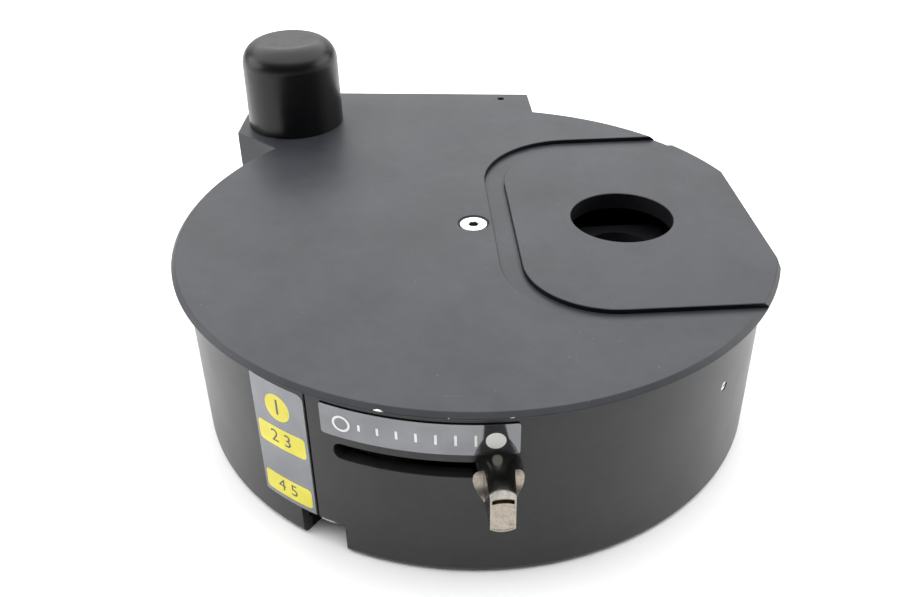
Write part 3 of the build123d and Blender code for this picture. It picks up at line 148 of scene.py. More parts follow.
# ---------------------------------------------------------------- solids
class Solid:
    """Closed mesh under construction, in millimetres."""

    def __init__(self, mesh: bmesh.types.BMesh) -> None:
        """Keeps the mesh."""
        self.mesh = mesh

    @classmethod
    def loft(cls, loops: Sequence[Sequence[Sequence[float]]], ring: bool = False) -> Solid:
        """Solid through loops of equally many points.

        Args:
            loops: The loops, from one end to the other.
            ring: Whether the last loop joins the first, in place of two end faces.

        Returns:
            The solid, with its faces turned outwards.
        """
        mesh = bmesh.new()
        rows = [[mesh.verts.new(point) for point in loop] for loop in loops]
        pairs = list(zip(rows, rows[1:]))
        if ring:
            pairs.append((rows[-1], rows[0]))
        else:
            mesh.faces.new(rows[0])
            mesh.faces.new(rows[-1])
        for lower, upper in pairs:
            count = len(lower)
            for index in range(count):
                after = (index + 1) % count
                mesh.faces.new((lower[index], lower[after], upper[after], upper[index]))
        bmesh.ops.recalc_face_normals(mesh, faces=mesh.faces)
        return cls(mesh)

    @classmethod
    def lathe(cls, profile: Sequence[Point], steps: int = ROUND_STEPS, ring: bool = False,
              centre: Point = (0.0, 0.0)) -> Solid:
        """Solid of revolution about an upright axis.

        Args:
            profile: Points as (radius, height), each radius above zero.
            steps: Facets in a full turn.
            ring: Whether the profile closes on itself.
            centre: Place of the axis.

        Returns:
            The turned solid.
        """
        loops = [[(x, y, height) for x, y in circle(radius, steps, centre)] for radius, height in profile]
        return cls.loft(loops, ring)

    @classmethod
    def prism(cls, levels: Sequence[tuple[Sequence[Point], float]]) -> Solid:
        """Upright solid through outlines at given heights."""
        return cls.loft([[(x, y, height) for x, y in outline] for outline, height in levels])

    @classmethod
    def box(cls, low: Sequence[float], high: Sequence[float]) -> Solid:
        """Block between two corners."""
        outline = [(low[0], low[1]), (high[0], low[1]), (high[0], high[1]), (low[0], high[1])]
        return cls.prism([(outline, low[2]), (outline, high[2])])

    def moved(self, matrix: Matrix) -> Solid:
        """The same solid after a move."""
        self.mesh.transform(matrix)
        bmesh.ops.recalc_face_normals(self.mesh, faces=self.mesh.faces)
        return self

    def cut(self, *tools: Solid) -> Solid:
        """The solid without the space of the tools."""
        return self._combine("DIFFERENCE", tools)

    def join(self, *others: Solid) -> Solid:
        """The solid with the others."""
        return self._combine("UNION", others)

    def keep(self, *others: Solid) -> Solid:
        """What the solid has in common with the others."""
        return self._combine("INTERSECT", others)

    def _combine(self, operation: str, others: Iterable[Solid]) -> Solid:
        """Runs one exact Boolean for each of the other solids."""
        result = self
        for other in others:
            target, tool = result.to_object("target"), other.to_object("tool")
            modifier = target.modifiers.new("combine", "BOOLEAN")
            modifier.operation = operation
            modifier.solver = "EXACT"
            modifier.object = tool
            result = Solid.taken_from(target)
            data = tool.data
            bpy.data.objects.remove(tool)
            bpy.data.meshes.remove(data)
        return result

    def bevelled(self, width: float, angle: float = 30.0, segments: int = 2) -> Solid:
        """The solid with its edges above an angle rounded.

        Args:
            width: Width of the rounding.
            angle: Smallest angle of an edge that is rounded.
            segments: Facets across the rounding.

        Returns:
            The rounded solid.
        """
        target = self.to_object("target")
        modifier = target.modifiers.new("bevel", "BEVEL")
        modifier.width = width
        modifier.segments = segments
        modifier.limit_method = "ANGLE"
        modifier.angle_limit = math.radians(angle)
        return Solid.taken_from(target)

    @classmethod
    def taken_from(cls, source: bpy.types.Object) -> Solid:
        """Solid from an object's evaluated mesh; the object is removed."""
        mesh = evaluated_mesh(source)
        result = cls(bmesh.new())
        result.mesh.from_mesh(mesh)
        bmesh.ops.remove_doubles(result.mesh, verts=result.mesh.verts, dist=1e-5)
        data = source.data
        bpy.data.objects.remove(source)
        bpy.data.meshes.remove(mesh)
        if isinstance(data, bpy.types.Mesh):
            bpy.data.meshes.remove(data)
        return result

    def to_object(self, name: str, scale: float = 1.0) -> bpy.types.Object:
        """Object with a copy of the mesh, at a scale."""
        data = bpy.data.meshes.new(name)
        copy = self.mesh.copy()
        copy.transform(Matrix.Scale(scale, 4))
        copy.to_mesh(data)
        copy.free()
        made = bpy.data.objects.new(name, data)
        bpy.context.scene.collection.objects.link(made)
        return made


def evaluated_mesh(source: bpy.types.Object) -> bpy.types.Mesh:
    """New mesh with the object's modifiers applied."""
    bpy.context.view_layer.update()
    graph = bpy.context.evaluated_depsgraph_get()
    return bpy.data.meshes.new_from_object(source.evaluated_get(graph), preserve_all_data_layers=True,
                                           depsgraph=graph)


def bake_modifiers(target: bpy.types.Object) -> None:
    """Replaces the object's mesh with its evaluated one and drops the modifiers."""
    mesh = evaluated_mesh(target)
    old = target.data
    target.modifiers.clear()
    target.data = mesh
    mesh.name = target.name
    bpy.data.meshes.remove(old)


def shade(target: bpy.types.Object, sharp_angle: float = 28.0) -> None:
    """Smooth shading that keeps flat faces flat and edges above an angle sharp."""
    target.data.polygons.foreach_set("use_smooth", [True] * len(target.data.polygons))
    target.data.set_sharp_from_angle(angle=math.radians(sharp_angle))
    modifier = target.modifiers.new("weights", "WEIGHTED_NORMAL")
    modifier.keep_sharp = True
    bake_modifiers(target)


# ---------------------------------------------------------------- shader graph
class Socket:
    """Output socket of a number, with the usual operators: each one adds a Math node."""

    def __init__(self, graph: Graph, link: bpy.types.NodeSocket) -> None:
        """Keeps the graph and the socket."""
        self.graph = graph
        self.link = link

    def _math(self, operation: str, first: Value, second: Value = 0.0, clamp: bool = False) -> Socket:
        """Adds a Math node and returns its result."""
        node = self.graph.add("ShaderNodeMath", {"operation": operation, "use_clamp": clamp},
                              {0: first, 1: second})
        return Socket(self.graph, node.outputs[0])

    def __add__(self, other: Value) -> Socket:
        """Sum."""
        return self._math("ADD", self, other)

    __radd__ = __add__

    def __mul__(self, other: Value) -> Socket:
        """Product."""
        return self._math("MULTIPLY", self, other)

    __rmul__ = __mul__

    def __sub__(self, other: Value) -> Socket:
        """Difference."""
        return self._math("SUBTRACT", self, other)

    def __rsub__(self, other: Value) -> Socket:
        """Difference from a number."""
        return self._math("SUBTRACT", other, self)

    def __gt__(self, other: Value) -> Socket:
        """One where the value is above the other, else zero."""
        return self._math("GREATER_THAN", self, other)

    def __lt__(self, other: Value) -> Socket:
        """One where the value is below the other, else zero."""
        return self._math("LESS_THAN", self, other)

    def clamped(self) -> Socket:
        """The value held between zero and one."""
        return self._math("ADD", self, 0.0, clamp=True)

    def ramp(self, low: float, high: float) -> Socket:
        """Zero at a low value, one at a high one, smooth between."""
        node = self.graph.add("ShaderNodeMapRange", {"interpolation_type": "SMOOTHSTEP"},
                              {"Value": self, "From Min": low, "From Max": high})
        return Socket(self.graph, node.outputs[0])


Value = Union[Socket, float, Sequence[float], bpy.types.NodeSocket]
Setting = Union[str, float, bool]


class Graph:
    """Shader graph of one material, in the millimetres of the whole object."""

    def __init__(self, material: bpy.types.Material) -> None:
        """Clears the material and adds its output."""
        material.use_nodes = True
        self.nodes = material.node_tree.nodes
        self.links = material.node_tree.links
        self.nodes.clear()
        self.output = self.add("ShaderNodeOutputMaterial")

    def add(self, kind: str, settings: dict[str, Setting] | None = None,
            inputs: dict[str | int, Value] | None = None) -> bpy.types.Node:
        """Adds a node.

        Args:
            kind: The node's type.
            settings: Properties, set first.
            inputs: Values or links of its input sockets, by name or number.

        Returns:
            The new node.
        """
        node = self.nodes.new(kind)
        for name, setting in (settings or {}).items():
            setattr(node, name, setting)
        for name, value in (inputs or {}).items():
            socket = node.inputs[name]
            if isinstance(value, Socket):
                self.links.new(value.link, socket)
            elif isinstance(value, bpy.types.NodeSocket):
                self.links.new(value, socket)
            elif isinstance(value, (int, float)):
                socket.default_value = value
            else:
                socket.default_value = (*value, 1.0) if len(value) < len(socket.default_value) else value
        return node

    def place(self, scale: Sequence[float] = (1.0, 1.0, 1.0)) -> bpy.types.NodeSocket:
        """Coordinates on the object in millimetres, times a scale for each axis."""
        coordinates = self.add("ShaderNodeTexCoord")
        factor = [value / MM for value in scale]
        node = self.add("ShaderNodeVectorMath", {"operation": "MULTIPLY"},
                        {0: coordinates.outputs["Object"], 1: factor})
        return node.outputs[0]

    def facing(self, direction: Sequence[float]) -> Socket:
        """How far the surface faces a direction on the object, from -1 to 1."""
        coordinates = self.add("ShaderNodeTexCoord")
        node = self.add("ShaderNodeVectorMath", {"operation": "DOT_PRODUCT"},
                        {0: coordinates.outputs["Normal"], 1: list(direction)})
        return Socket(self, node.outputs["Value"])

    def noise(self, size: float, detail: float = 3.0, roughness: float = 0.55, seed: float = 0.0,
              stretch: Sequence[float] = (1.0, 1.0, 1.0)) -> Socket:
        """Soft noise with blotches of about a size in millimetres.

        Args:
            size: Size of the blotches.
            detail: Number of finer layers.
            roughness: Strength of the finer layers.
            seed: Shift that makes another pattern.
            stretch: How much longer the blotches are along each axis.

        Returns:
            The noise, from zero to one.
        """
        scale = [1.0 / (size * factor) for factor in stretch]
        node = self.add("ShaderNodeTexNoise", {"noise_dimensions": "4D"},
                        {"Vector": self.place(scale), "W": seed, "Scale": 1.0, "Detail": detail,
                         "Roughness": roughness})
        return Socket(self, node.outputs[0])

    def cells(self, size: float, spread: float = 1.0) -> tuple[Socket, Socket]:
        """Scattered cells: the distance to each middle in cell sizes, and a random number for each."""
        scale = [1.0 / size] * 3
        node = self.add("ShaderNodeTexVoronoi", {"feature": "F1"},
                        {"Vector": self.place(scale), "Scale": 1.0, "Randomness": spread})
        chance = self.add("ShaderNodeSeparateColor", None, {0: node.outputs["Color"]})
        return Socket(self, node.outputs["Distance"]), Socket(self, chance.outputs[0])

    def blend(self, factor: Value, first: Value, second: Value) -> bpy.types.NodeSocket:
        """Colour between two colours."""
        node = self.add("ShaderNodeMix", {"data_type": "RGBA"}, {0: factor, 6: first, 7: second})
        return node.outputs[2]

    def bump(self, height: Socket, depth: float, strength: float = 1.0) -> bpy.types.NodeSocket:
        """Normal of a relief, its depth in millimetres."""
        node = self.add("ShaderNodeBump", None,
                        {"Strength": strength, "Distance": depth * MM, "Height": height})
        return node.outputs[0]

    def surface(self, **inputs: Value) -> None:
        """Connects a Principled shader, its sockets named with underscores for spaces."""
        values = {name.replace("_", " "): value for name, value in inputs.items()}
        shader = self.add("ShaderNodeBsdfPrincipled", None, values)
        self.links.new(shader.outputs[0], self.output.inputs[0])


# ---------------------------------------------------------------- finishes
class Tint(Enum):
    """Glass colours of the filters, as transmitted light."""

    VIOLET = (0.30, 0.12, 0.62)
    BLUE = (0.10, 0.26, 0.72)
    GREEN = (0.12, 0.58, 0.24)
    AMBER = (0.85, 0.45, 0.08)
    RED = (0.74, 0.08, 0.07)


@dataclass(frozen=True)
class Finish:
    """Base of all finishes: a named material and the graph that paints it."""

    name: str

    def material(self) -> bpy.types.Material:
        """The finished material, made once for each name."""
        known = bpy.data.materials.get(self.name)
        if known is not None:
            return known
        made = bpy.data.materials.new(self.name)
        self.paint(Graph(made))
        return made

    def paint(self, graph: Graph) -> None:
        """Builds the shader graph."""
        raise NotImplementedError


@dataclass(frozen=True)
class Nick:
    """Bare spot on the rim, longer along it than across."""

    angle: float
    height: float
    length: float = 1.5
    width: float = 0.3
    radius: float = 101.35

    def mask(self, graph: Graph) -> Socket:
        """One on the bare spot, else zero."""
        turned = graph.add("ShaderNodeVectorRotate", {"rotation_type": "Z_AXIS"},
                           {"Vector": graph.place(), "Angle": -math.radians(self.angle)})
        scaled = graph.add("ShaderNodeVectorMath", {"operation": "MULTIPLY"},
                           {0: turned.outputs[0], 1: (1 / self.length, 1 / self.length, 1 / self.width)})
        spot = (self.radius / self.length, 0.0, self.height / self.width)
        distance = graph.add("ShaderNodeVectorMath", {"operation": "DISTANCE"},
                             {0: scaled.outputs[0], 1: spot})
        return Socket(graph, distance.outputs["Value"]) < graph.noise(0.6, 3, seed=self.angle) * 1.7


@dataclass(frozen=True)
class BlackAnodised(Finish):
    """Fine-blasted and black anodised aluminium, with dust, faint rubs and a few bare nicks."""

    dark: Colour = (0.0175, 0.0185, 0.0225)
    light: Colour = (0.0265, 0.028, 0.0335)
    roughness: float = 0.42
    gloss: float = 0.33
    dust: float = 0.35
    nicks: tuple[Nick, ...] = ()

    def paint(self, graph: Graph) -> None:
        """Builds the shader graph."""
        clouds = graph.noise(34, 4) * 0.6 + graph.noise(5, 3, seed=2.0) * 0.4
        colour = graph.blend(clouds.ramp(0.32, 0.68), self.dark, self.light)
        rubs = graph.noise(1.1, 2, stretch=(24, 1, 1), seed=5.0).ramp(0.66, 0.74) * \
            graph.noise(60, 2, seed=7.0).ramp(0.52, 0.68)
        colour = graph.blend(rubs * 0.22, colour, (0.16, 0.16, 0.165))
        distance, chance = graph.cells(2.6)
        specks = (distance < chance * 0.055) * (graph.noise(20, 2, seed=9.0) > 0.44)
        colour = graph.blend(specks * self.dust, colour, (0.55, 0.54, 0.52))
        roughness = graph.noise(18, 4, seed=3.0) * 0.14 + (self.roughness - 0.07)
        metallic: Value = 0.0
        for nick in self.nicks:
            bare = nick.mask(graph)
            colour = graph.blend(bare, colour, (0.78, 0.77, 0.75))
            metallic = bare + metallic
        grain = graph.noise(0.32, 2, 0.6, seed=4.0)
        if self.nicks:
            metallic = metallic.clamped()
        graph.surface(Base_Color=colour, Metallic=metallic, Roughness=roughness + rubs * 0.1,
                      Specular_IOR_Level=self.gloss, Normal=graph.bump(grain, 0.012, 0.5))


@dataclass(frozen=True)
class MouldedPlastic(Finish):
    """Smooth moulded plastic with a faint orange peel and light handling marks."""

    colour: Colour = (0.0015, 0.0015, 0.002)
    roughness: float = 0.34
    gloss: float = 0.33
    peel: float = 0.003

    def paint(self, graph: Graph) -> None:
        """Builds the shader graph."""
        clouds = graph.noise(14, 4)
        lighter = tuple(min(1.0, value * 1.5 + 0.001) for value in self.colour)
        colour = graph.blend(clouds.ramp(0.35, 0.7), self.colour, lighter)
        marks = graph.noise(7, 5, 0.65, seed=3.0).ramp(0.5, 0.72)
        roughness = marks * 0.12 + (self.roughness - 0.03)
        peel = graph.noise(1.6, 3, seed=1.0)
        graph.surface(Base_Color=colour, Roughness=roughness, Specular_IOR_Level=self.gloss,
                      Normal=graph.bump(peel, self.peel, 0.6))


@dataclass(frozen=True)
class WorkedMetal(Finish):
    """Bare or plated metal, with the fine lines of its turning or milling and some tarnish."""

    colour: Colour = (0.62, 0.61, 0.60)
    roughness: float = 0.28
    lines: tuple[float, float, float] = (1.0, 1.0, 1.0)
    line_size: float = 0.35
    tarnish: float = 0.35

    def paint(self, graph: Graph) -> None:
        """Builds the shader graph."""
        darker = tuple(value * 0.55 for value in self.colour)
        stain = graph.noise(6, 4, seed=1.0).ramp(0.4, 0.75)
        colour = graph.blend(stain * self.tarnish, self.colour, darker)
        lines = graph.noise(self.line_size, 3, 0.6, stretch=self.lines, seed=2.0)
        roughness = stain * 0.1 + lines * 0.14 + (self.roughness - 0.1)
        graph.surface(Base_Color=colour, Metallic=1.0, Roughness=roughness,
                      Normal=graph.bump(lines, 0.006, 0.6))


@dataclass(frozen=True)
class PlatedKnob(Finish):
    """Dark nickel over a turned body: mottled gloss round the body, dull pits on the faces cut by the mill.
    Faces that look out along the knob's axis are painted lighter and beige, partly for their duller finish
    and partly as a painted reflection of the floor.
    """

    turned: Colour = (0.20, 0.19, 0.175)
    # Lighter beige colour of the axis-facing faces: partly their duller finish, partly a painted reflection
    # of the floor.
    milled_and_reflection: Colour = (0.38, 0.34, 0.285)
    shadow: float = 0.45
    axis: float = -90.5

    def paint(self, graph: Graph) -> None:
        """Builds the shader graph."""
        # Faces that look out along the knob's axis take the lighter, beige colour: partly the duller finish
        # of the cut faces, partly a painted reflection of the floor.
        face = graph.facing((*polar(1.0, self.axis), 0.0)).ramp(0.25, 0.95)
        pits = graph.noise(0.35, 3, 0.6, seed=3.0).ramp(0.5, 0.66)
        mottle = graph.noise(1.6, 4, 0.65, seed=1.0).ramp(0.4, 0.7)
        milled_and_reflection = graph.blend(pits * 0.6 + mottle * 0.4, self.milled_and_reflection,
                             tuple(value * self.shadow for value in self.milled_and_reflection))
        turned = graph.blend(mottle * 0.55, self.turned, tuple(value * self.shadow for value in self.turned))
        colour = graph.blend(face, turned, milled_and_reflection)
        roughness = face * 0.24 + mottle * 0.06 + pits * 0.05 + 0.14
        graph.surface(Base_Color=colour, Metallic=1.0, Roughness=roughness,
                      Normal=graph.bump(pits, 0.01, 0.5))


@dataclass(frozen=True)
class PrintedFilm(Finish):
    """Printed label film under a clear, slightly uneven laminate."""

    colour: Colour = (0.3, 0.3, 0.31)
    roughness: float = 0.2
    foil: float = 0.0

    def paint(self, graph: Graph) -> None:
        """Builds the shader graph."""
        faded = tuple(min(1.0, value * 1.12 + 0.01) for value in self.colour)
        colour = graph.blend(graph.noise(9, 4).ramp(0.35, 0.7), self.colour, faded)
        wear = graph.noise(2.2, 5, 0.7, seed=4.0).ramp(0.62, 0.8)
        roughness = wear * 0.18 + graph.noise(12, 3, seed=2.0) * 0.08 + (self.roughness - 0.04)
        ripple = graph.noise(11, 2, seed=6.0)
        graph.surface(Base_Color=colour, Metallic=self.foil, Roughness=roughness, Specular_IOR_Level=0.5,
                      Normal=graph.bump(ripple, 0.03, 0.35))


@dataclass(frozen=True)
class GearPlastic(Finish):
    """Waxy white acetal, a little translucent, with the marks of running teeth."""

    colour: Colour = (0.72, 0.70, 0.65)

    def paint(self, graph: Graph) -> None:
        """Builds the shader graph."""
        darker = tuple(value * 0.8 for value in self.colour)
        colour = graph.blend(graph.noise(8, 4).ramp(0.45, 0.75), self.colour, darker)
        roughness = graph.noise(1.5, 3, seed=2.0) * 0.2 + 0.32
        graph.surface(Base_Color=colour, Roughness=roughness, Subsurface_Weight=0.12,
                      Subsurface_Scale=0.001, Normal=graph.bump(graph.noise(0.5, 2), 0.01, 0.4))


@dataclass(frozen=True)
class FilterGlass(Finish):
    """Coated optical glass that lets one colour through."""

    tint: Tint = Tint.BLUE

    def paint(self, graph: Graph) -> None:
        """Builds the shader graph."""
        smear = graph.noise(5, 4, seed=2.0).ramp(0.5, 0.8)
        graph.surface(Base_Color=graph.blend(smear * 0.15, self.tint.value, (0.8, 0.8, 0.85)),
                      Roughness=smear * 0.08 + 0.02, Transmission_Weight=0.75, IOR=1.52,
                      Coat_Weight=0.8, Coat_Roughness=0.02)


@dataclass(frozen=True)
class MirrorGlass(Finish):
    """Dichroic mirror: a bright coating with a bluish cast."""

    colour: Colour = (0.70, 0.78, 0.92)

    def paint(self, graph: Graph) -> None:
        """Builds the shader graph."""
        haze = graph.noise(4, 4).ramp(0.5, 0.85)
        colour = graph.blend(haze * 0.3, self.colour, (0.55, 0.72, 0.62))
        graph.surface(Base_Color=colour, Metallic=1.0, Roughness=haze * 0.06 + 0.03)


@dataclass(frozen=True)
class CircuitBoard(Finish):
    """Green solder mask over straight copper tracks."""

    mask: Colour = (0.02, 0.13, 0.05)

    def paint(self, graph: Graph) -> None:
        """Builds the shader graph."""
        node = graph.add("ShaderNodeTexBrick", {"offset": 0.5},
                         {"Vector": graph.place((0.6, 0.6, 0.6)), "Scale": 1.0, "Mortar Size": 0.08})
        tracks = Socket(graph, node.outputs["Fac"])
        colour = graph.blend(tracks * 0.7, self.mask, (0.05, 0.24, 0.09))
        roughness = graph.noise(2, 3) * 0.15 + 0.25
        graph.surface(Base_Color=colour, Roughness=roughness,
                      Normal=graph.bump(tracks + graph.noise(0.6, 2) * 0.3, 0.03, 0.6))


@dataclass(frozen=True)
class BenchTop(Finish):
    """Plain pale floor."""

    colour: Colour = (0.86, 0.86, 0.865)

    def paint(self, graph: Graph) -> None:
        """Builds the shader graph."""
        colour = graph.blend(graph.noise(120, 3), self.colour, tuple(value * 0.985 for value in self.colour))
        graph.surface(Base_Color=colour, Roughness=0.6, Specular_IOR_Level=0.25)


# ---------------------------------------------------------------- pieces
@dataclass(frozen=True)
class Wheel:
    """Driving sizes of the housing, shared by the sub-assemblies."""

    height: float = 64.0
    top_radius: float = 100.0
    rim_chamfer: float = 1.35
    rim_land: float = 0.45
    rim_flat: float = 95.0
    spigot_depth: float = 4.2
    skirt_radius: float = 97.4
    skirt_flat: float = 93.0
    skirt_wall: float = 4.0
    static_gap: float = 0.1
    path_radius: float = 51.2
    port_height: float = 34.0
    drive_angle: float = 125.3
    motor_distance: float = 117.0

    @property
    def rim_radius(self) -> float:
        """Radius of the rim below its chamfer."""
        return self.top_radius + self.rim_chamfer

    @property
    def flange_z(self) -> float:
        """Underside of the rim."""
        return self.height - self.rim_chamfer - self.rim_land

    @property
    def inner_radius(self) -> float:
        """Radius of the skirt's inside."""
        return self.skirt_radius - self.skirt_wall

    @property
    def inner_flat(self) -> float:
        """Inside of the skirt's flat."""
        return self.skirt_flat - self.skirt_wall

    @property
    def motor_centre(self) -> Point:
        """Axis of the motor and its cap."""
        return polar(self.motor_distance, self.drive_angle)


def add_piece(solid: Solid, name: str, finish: Finish, body: str, nodes: Sequence[str] = (),
              sharp_angle: float = 28.0) -> bpy.types.Object:
    """Makes a solid into a finished piece on a body.

    Args:
        solid: The shape, in millimetres.
        name: The piece's name.
        finish: Its surface.
        body: The body that it rides on.
        nodes: The nodes that it stands for.
        sharp_angle: Angle above which an edge stays sharp.

    Returns:
        The new object.
    """
    piece = solid.to_object(name, MM)
    shade(piece, sharp_angle)
    piece.data.materials.clear()
    piece.data.materials.append(finish.material())
    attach(piece, body)
    if nodes:
        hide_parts(*nodes)
    log.info("%s: %d faces on %s", name, len(piece.data.polygons), body)
    return piece


def recolour(piece: bpy.types.Object, finish: Finish, chosen: Callable[[Vector, Vector], bool]) -> None:
    """Gives some faces of a piece a second finish.

    Args:
        piece: The piece.
        finish: The second finish.
        chosen: Tells by a face's middle, in millimetres, and its normal whether it takes the finish.
    """
    piece.data.materials.append(finish.material())
    for face in piece.data.polygons:
        if chosen(face.center / MM, face.normal):
            face.material_index = 1


def on_skirt(outline: Sequence[Point], radius: float) -> list[tuple[float, float, float]]:
    """Outline of (angle, height) points, set on a cylinder round the wheel's axis."""
    return [(*polar(radius, angle), height) for angle, height in outline]


@dataclass
class TopPlate:
    """Round plate with its chamfered rim, the slide rail's groove and the lid of the drive block."""

    wheel: Wheel
    edge: float = 0.2
    rail_depth: float = 1.7
    rail_left: float = 13.5
    rail_half_width: float = 56.4
    rail_corner: float = 28.0
    groove_left: float = 7.0
    groove_front: float = 6.0
    groove_back: float = 8.8
    bore_radius: float = 17.5
    sink_radius: float = 5.4
    sink_step: float = 0.4
    screw_radius: float = 2.6
    lid_step: float = 0.15
    cap_seat_radius: float = 19.6
    tapped_hole: Point = (20.4, 111.0)
    tapped_radius: float = 1.5

    def rim_profile(self) -> list[Point]:
        """Profile of the rim: land, broken corners and chamfer."""
        wheel = self.wheel
        low, land = wheel.flange_z, wheel.flange_z + wheel.rim_land
        soft = self.edge / 2
        return [
            (wheel.rim_radius - soft, low),
            (wheel.rim_radius, low + soft),
            (wheel.rim_radius, land - soft),
            (wheel.rim_radius - soft, land + soft),
            (wheel.top_radius + soft, wheel.height - soft),
            (wheel.top_radius - soft, wheel.height),
        ]

    def rail_outline(self, left: float, front: float, back: float, corner: float) -> RoundedOutline:
        """Rounded outline open towards the rim's flat."""
        far = self.wheel.rim_radius + corner
        return RoundedOutline(((left, front), (far, front), (far, back), (left, back)),
                              (corner, 0, 0, corner))

    def groove(self) -> Solid:
        """Cutter of the groove, its upper edges broken."""
        half = self.rail_half_width
        outer = self.rail_outline(self.rail_left - self.groove_left, -half - self.groove_front,
                                  half + self.groove_back, self.rail_corner + self.groove_left)
        inner = self.rail_outline(self.rail_left, -half, half, self.rail_corner)
        floor = self.wheel.height - self.rail_depth
        return self._stepped(outer, floor, 1).cut(self._stepped(inner, floor - 1, -1))

    def _stepped(self, outline: RoundedOutline, floor: float, way: int) -> Solid:
        """Prism of an outline whose last stretch below the top face slopes outwards or inwards."""
        top = self.wheel.height
        levels = [(0.0, floor), (0.0, top - self.edge), (way * self.edge, top), (way * self.edge, top + 2)]
        return Solid.prism([(outline.points(grow, 48), level) for grow, level in levels])

    def round_cutter(self, radius: float, centre: Point, low: float, steps: int = 192) -> Solid:
        """Cutter of a round hole with a broken upper edge."""
        top = self.wheel.height
        return Solid.lathe([(radius, low), (radius, top - self.edge), (radius + self.edge, top),
                            (radius + self.edge, top + 1)], steps, centre=centre)

    def in_painted_shade(self, middle: Vector, normal: Vector) -> bool:
        """True on the wall of the light bore and on the walls of the groove, which are darkened with painted
        shade.
        """
        upright = abs(normal.z) < 0.3
        in_bore = (middle.xy - Vector((self.wheel.path_radius, 0))).length < self.bore_radius + self.edge
        in_groove = self.wheel.height - self.rail_depth < middle.z < self.wheel.height and \
            5 < middle.x < self.wheel.rim_flat - 1 and middle.xy.length < self.wheel.top_radius - 1
        return upright and (in_bore or in_groove)

    def build(self, finish: Finish, inside: Finish, block: DriveBlock) -> None:
        """Makes the plate, its inner walls in a darker, duller finish that paints the shade on them."""
        wheel = self.wheel
        rim = Solid.lathe(self.rim_profile())
        reach = wheel.rim_radius + 10
        beyond_flat = Solid.box((wheel.rim_flat, -reach, wheel.flange_z - 1),
                                (reach, reach, wheel.height + 1))
        plate = rim.cut(beyond_flat)
        spigot_outline = flatted_circle(wheel.inner_radius - wheel.static_gap,
                                        wheel.inner_flat - wheel.static_gap)
        spigot = Solid.prism([(spigot_outline, wheel.flange_z - wheel.spigot_depth),
                              (spigot_outline, wheel.flange_z + wheel.rim_land / 2)])
        lid_z = wheel.height - self.lid_step
        lid = Solid.prism([(block.outline().points(0), wheel.flange_z),
                           (block.outline().points(0), lid_z - self.edge),
                           (block.outline().points(-self.edge), lid_z)])
        plate = plate.join(lid, spigot)
        sink = wheel.height - self.sink_step
        screw_hole = Solid.lathe([
            (self.screw_radius, wheel.flange_z - wheel.spigot_depth - 1),
            (self.screw_radius, sink - self.sink_radius + self.screw_radius),
            (self.sink_radius, sink),
            (self.sink_radius, wheel.height - self.edge / 2),
            (self.sink_radius + self.edge / 2, wheel.height),
            (self.sink_radius + self.edge / 2, wheel.height + 1),
        ], 128)
        low = wheel.flange_z - wheel.spigot_depth - 1
        plate = plate.cut(
            self.groove(),
            self.round_cutter(self.bore_radius, (wheel.path_radius, 0), low),
            screw_hole,
            Solid.lathe([(block.motor_radius, low), (block.motor_radius, lid_z),
                         (self.cap_seat_radius, lid_z + 1e-3), (self.cap_seat_radius, wheel.height + 1)],
                        128, centre=wheel.motor_centre),
            self.round_cutter(self.tapped_radius, self.tapped_hole, wheel.flange_z - 1, 48),
        )
        shell = add_piece(plate, "top_plate_shell", finish, "housing", ("top_plate",), 18)
        # The bore and groove walls take the darker finish: painted shade on the plate's own anodising.
        recolour(shell, inside, self.in_painted_shade)


def flatted_circle(radius: float, flat: float) -> list[Point]:
    """Circle with a flat across its +X side."""
    half = math.degrees(math.acos(flat / radius))
    return arc((0, 0), radius, half, 360 - half, ROUND_STEPS)


@dataclass
class DriveBlock:
    """Drive housing behind the skirt, with the outline that its lid shares."""

    wheel: Wheel
    back_angle: float = 6.7
    right_wall: float = 32.4
    back_reach: float = 19.5
    side_reach: float = 17.6
    right_length: float = 35.0
    motor_radius: float = 17.7
    left_corners: tuple[Point, ...] = (
        (-8.4, 23.8), (-21.7, 8.5), (-23.4, -10.8), (-5.9, -28.2), (7.0, -41.0))

    def outline(self) -> RoundedOutline:
        """Outline of the block, from the front end of its right wall round the back."""
        x, y = self.wheel.motor_centre
        back_y = y + self.back_reach
        far_left = x + self.side_reach
        rise = (self.right_wall - far_left) * math.tan(math.radians(self.back_angle))
        corners = [(self.right_wall, back_y - self.right_length), (self.right_wall, back_y),
                   (far_left, back_y + rise)]
        corners += [(x + dx, y + dy) for dx, dy in self.left_corners]
        return RoundedOutline(tuple(corners), (0.0, 0.6, 0.6, 0.6, 0.6, 0.6, 0.6, 0.0))


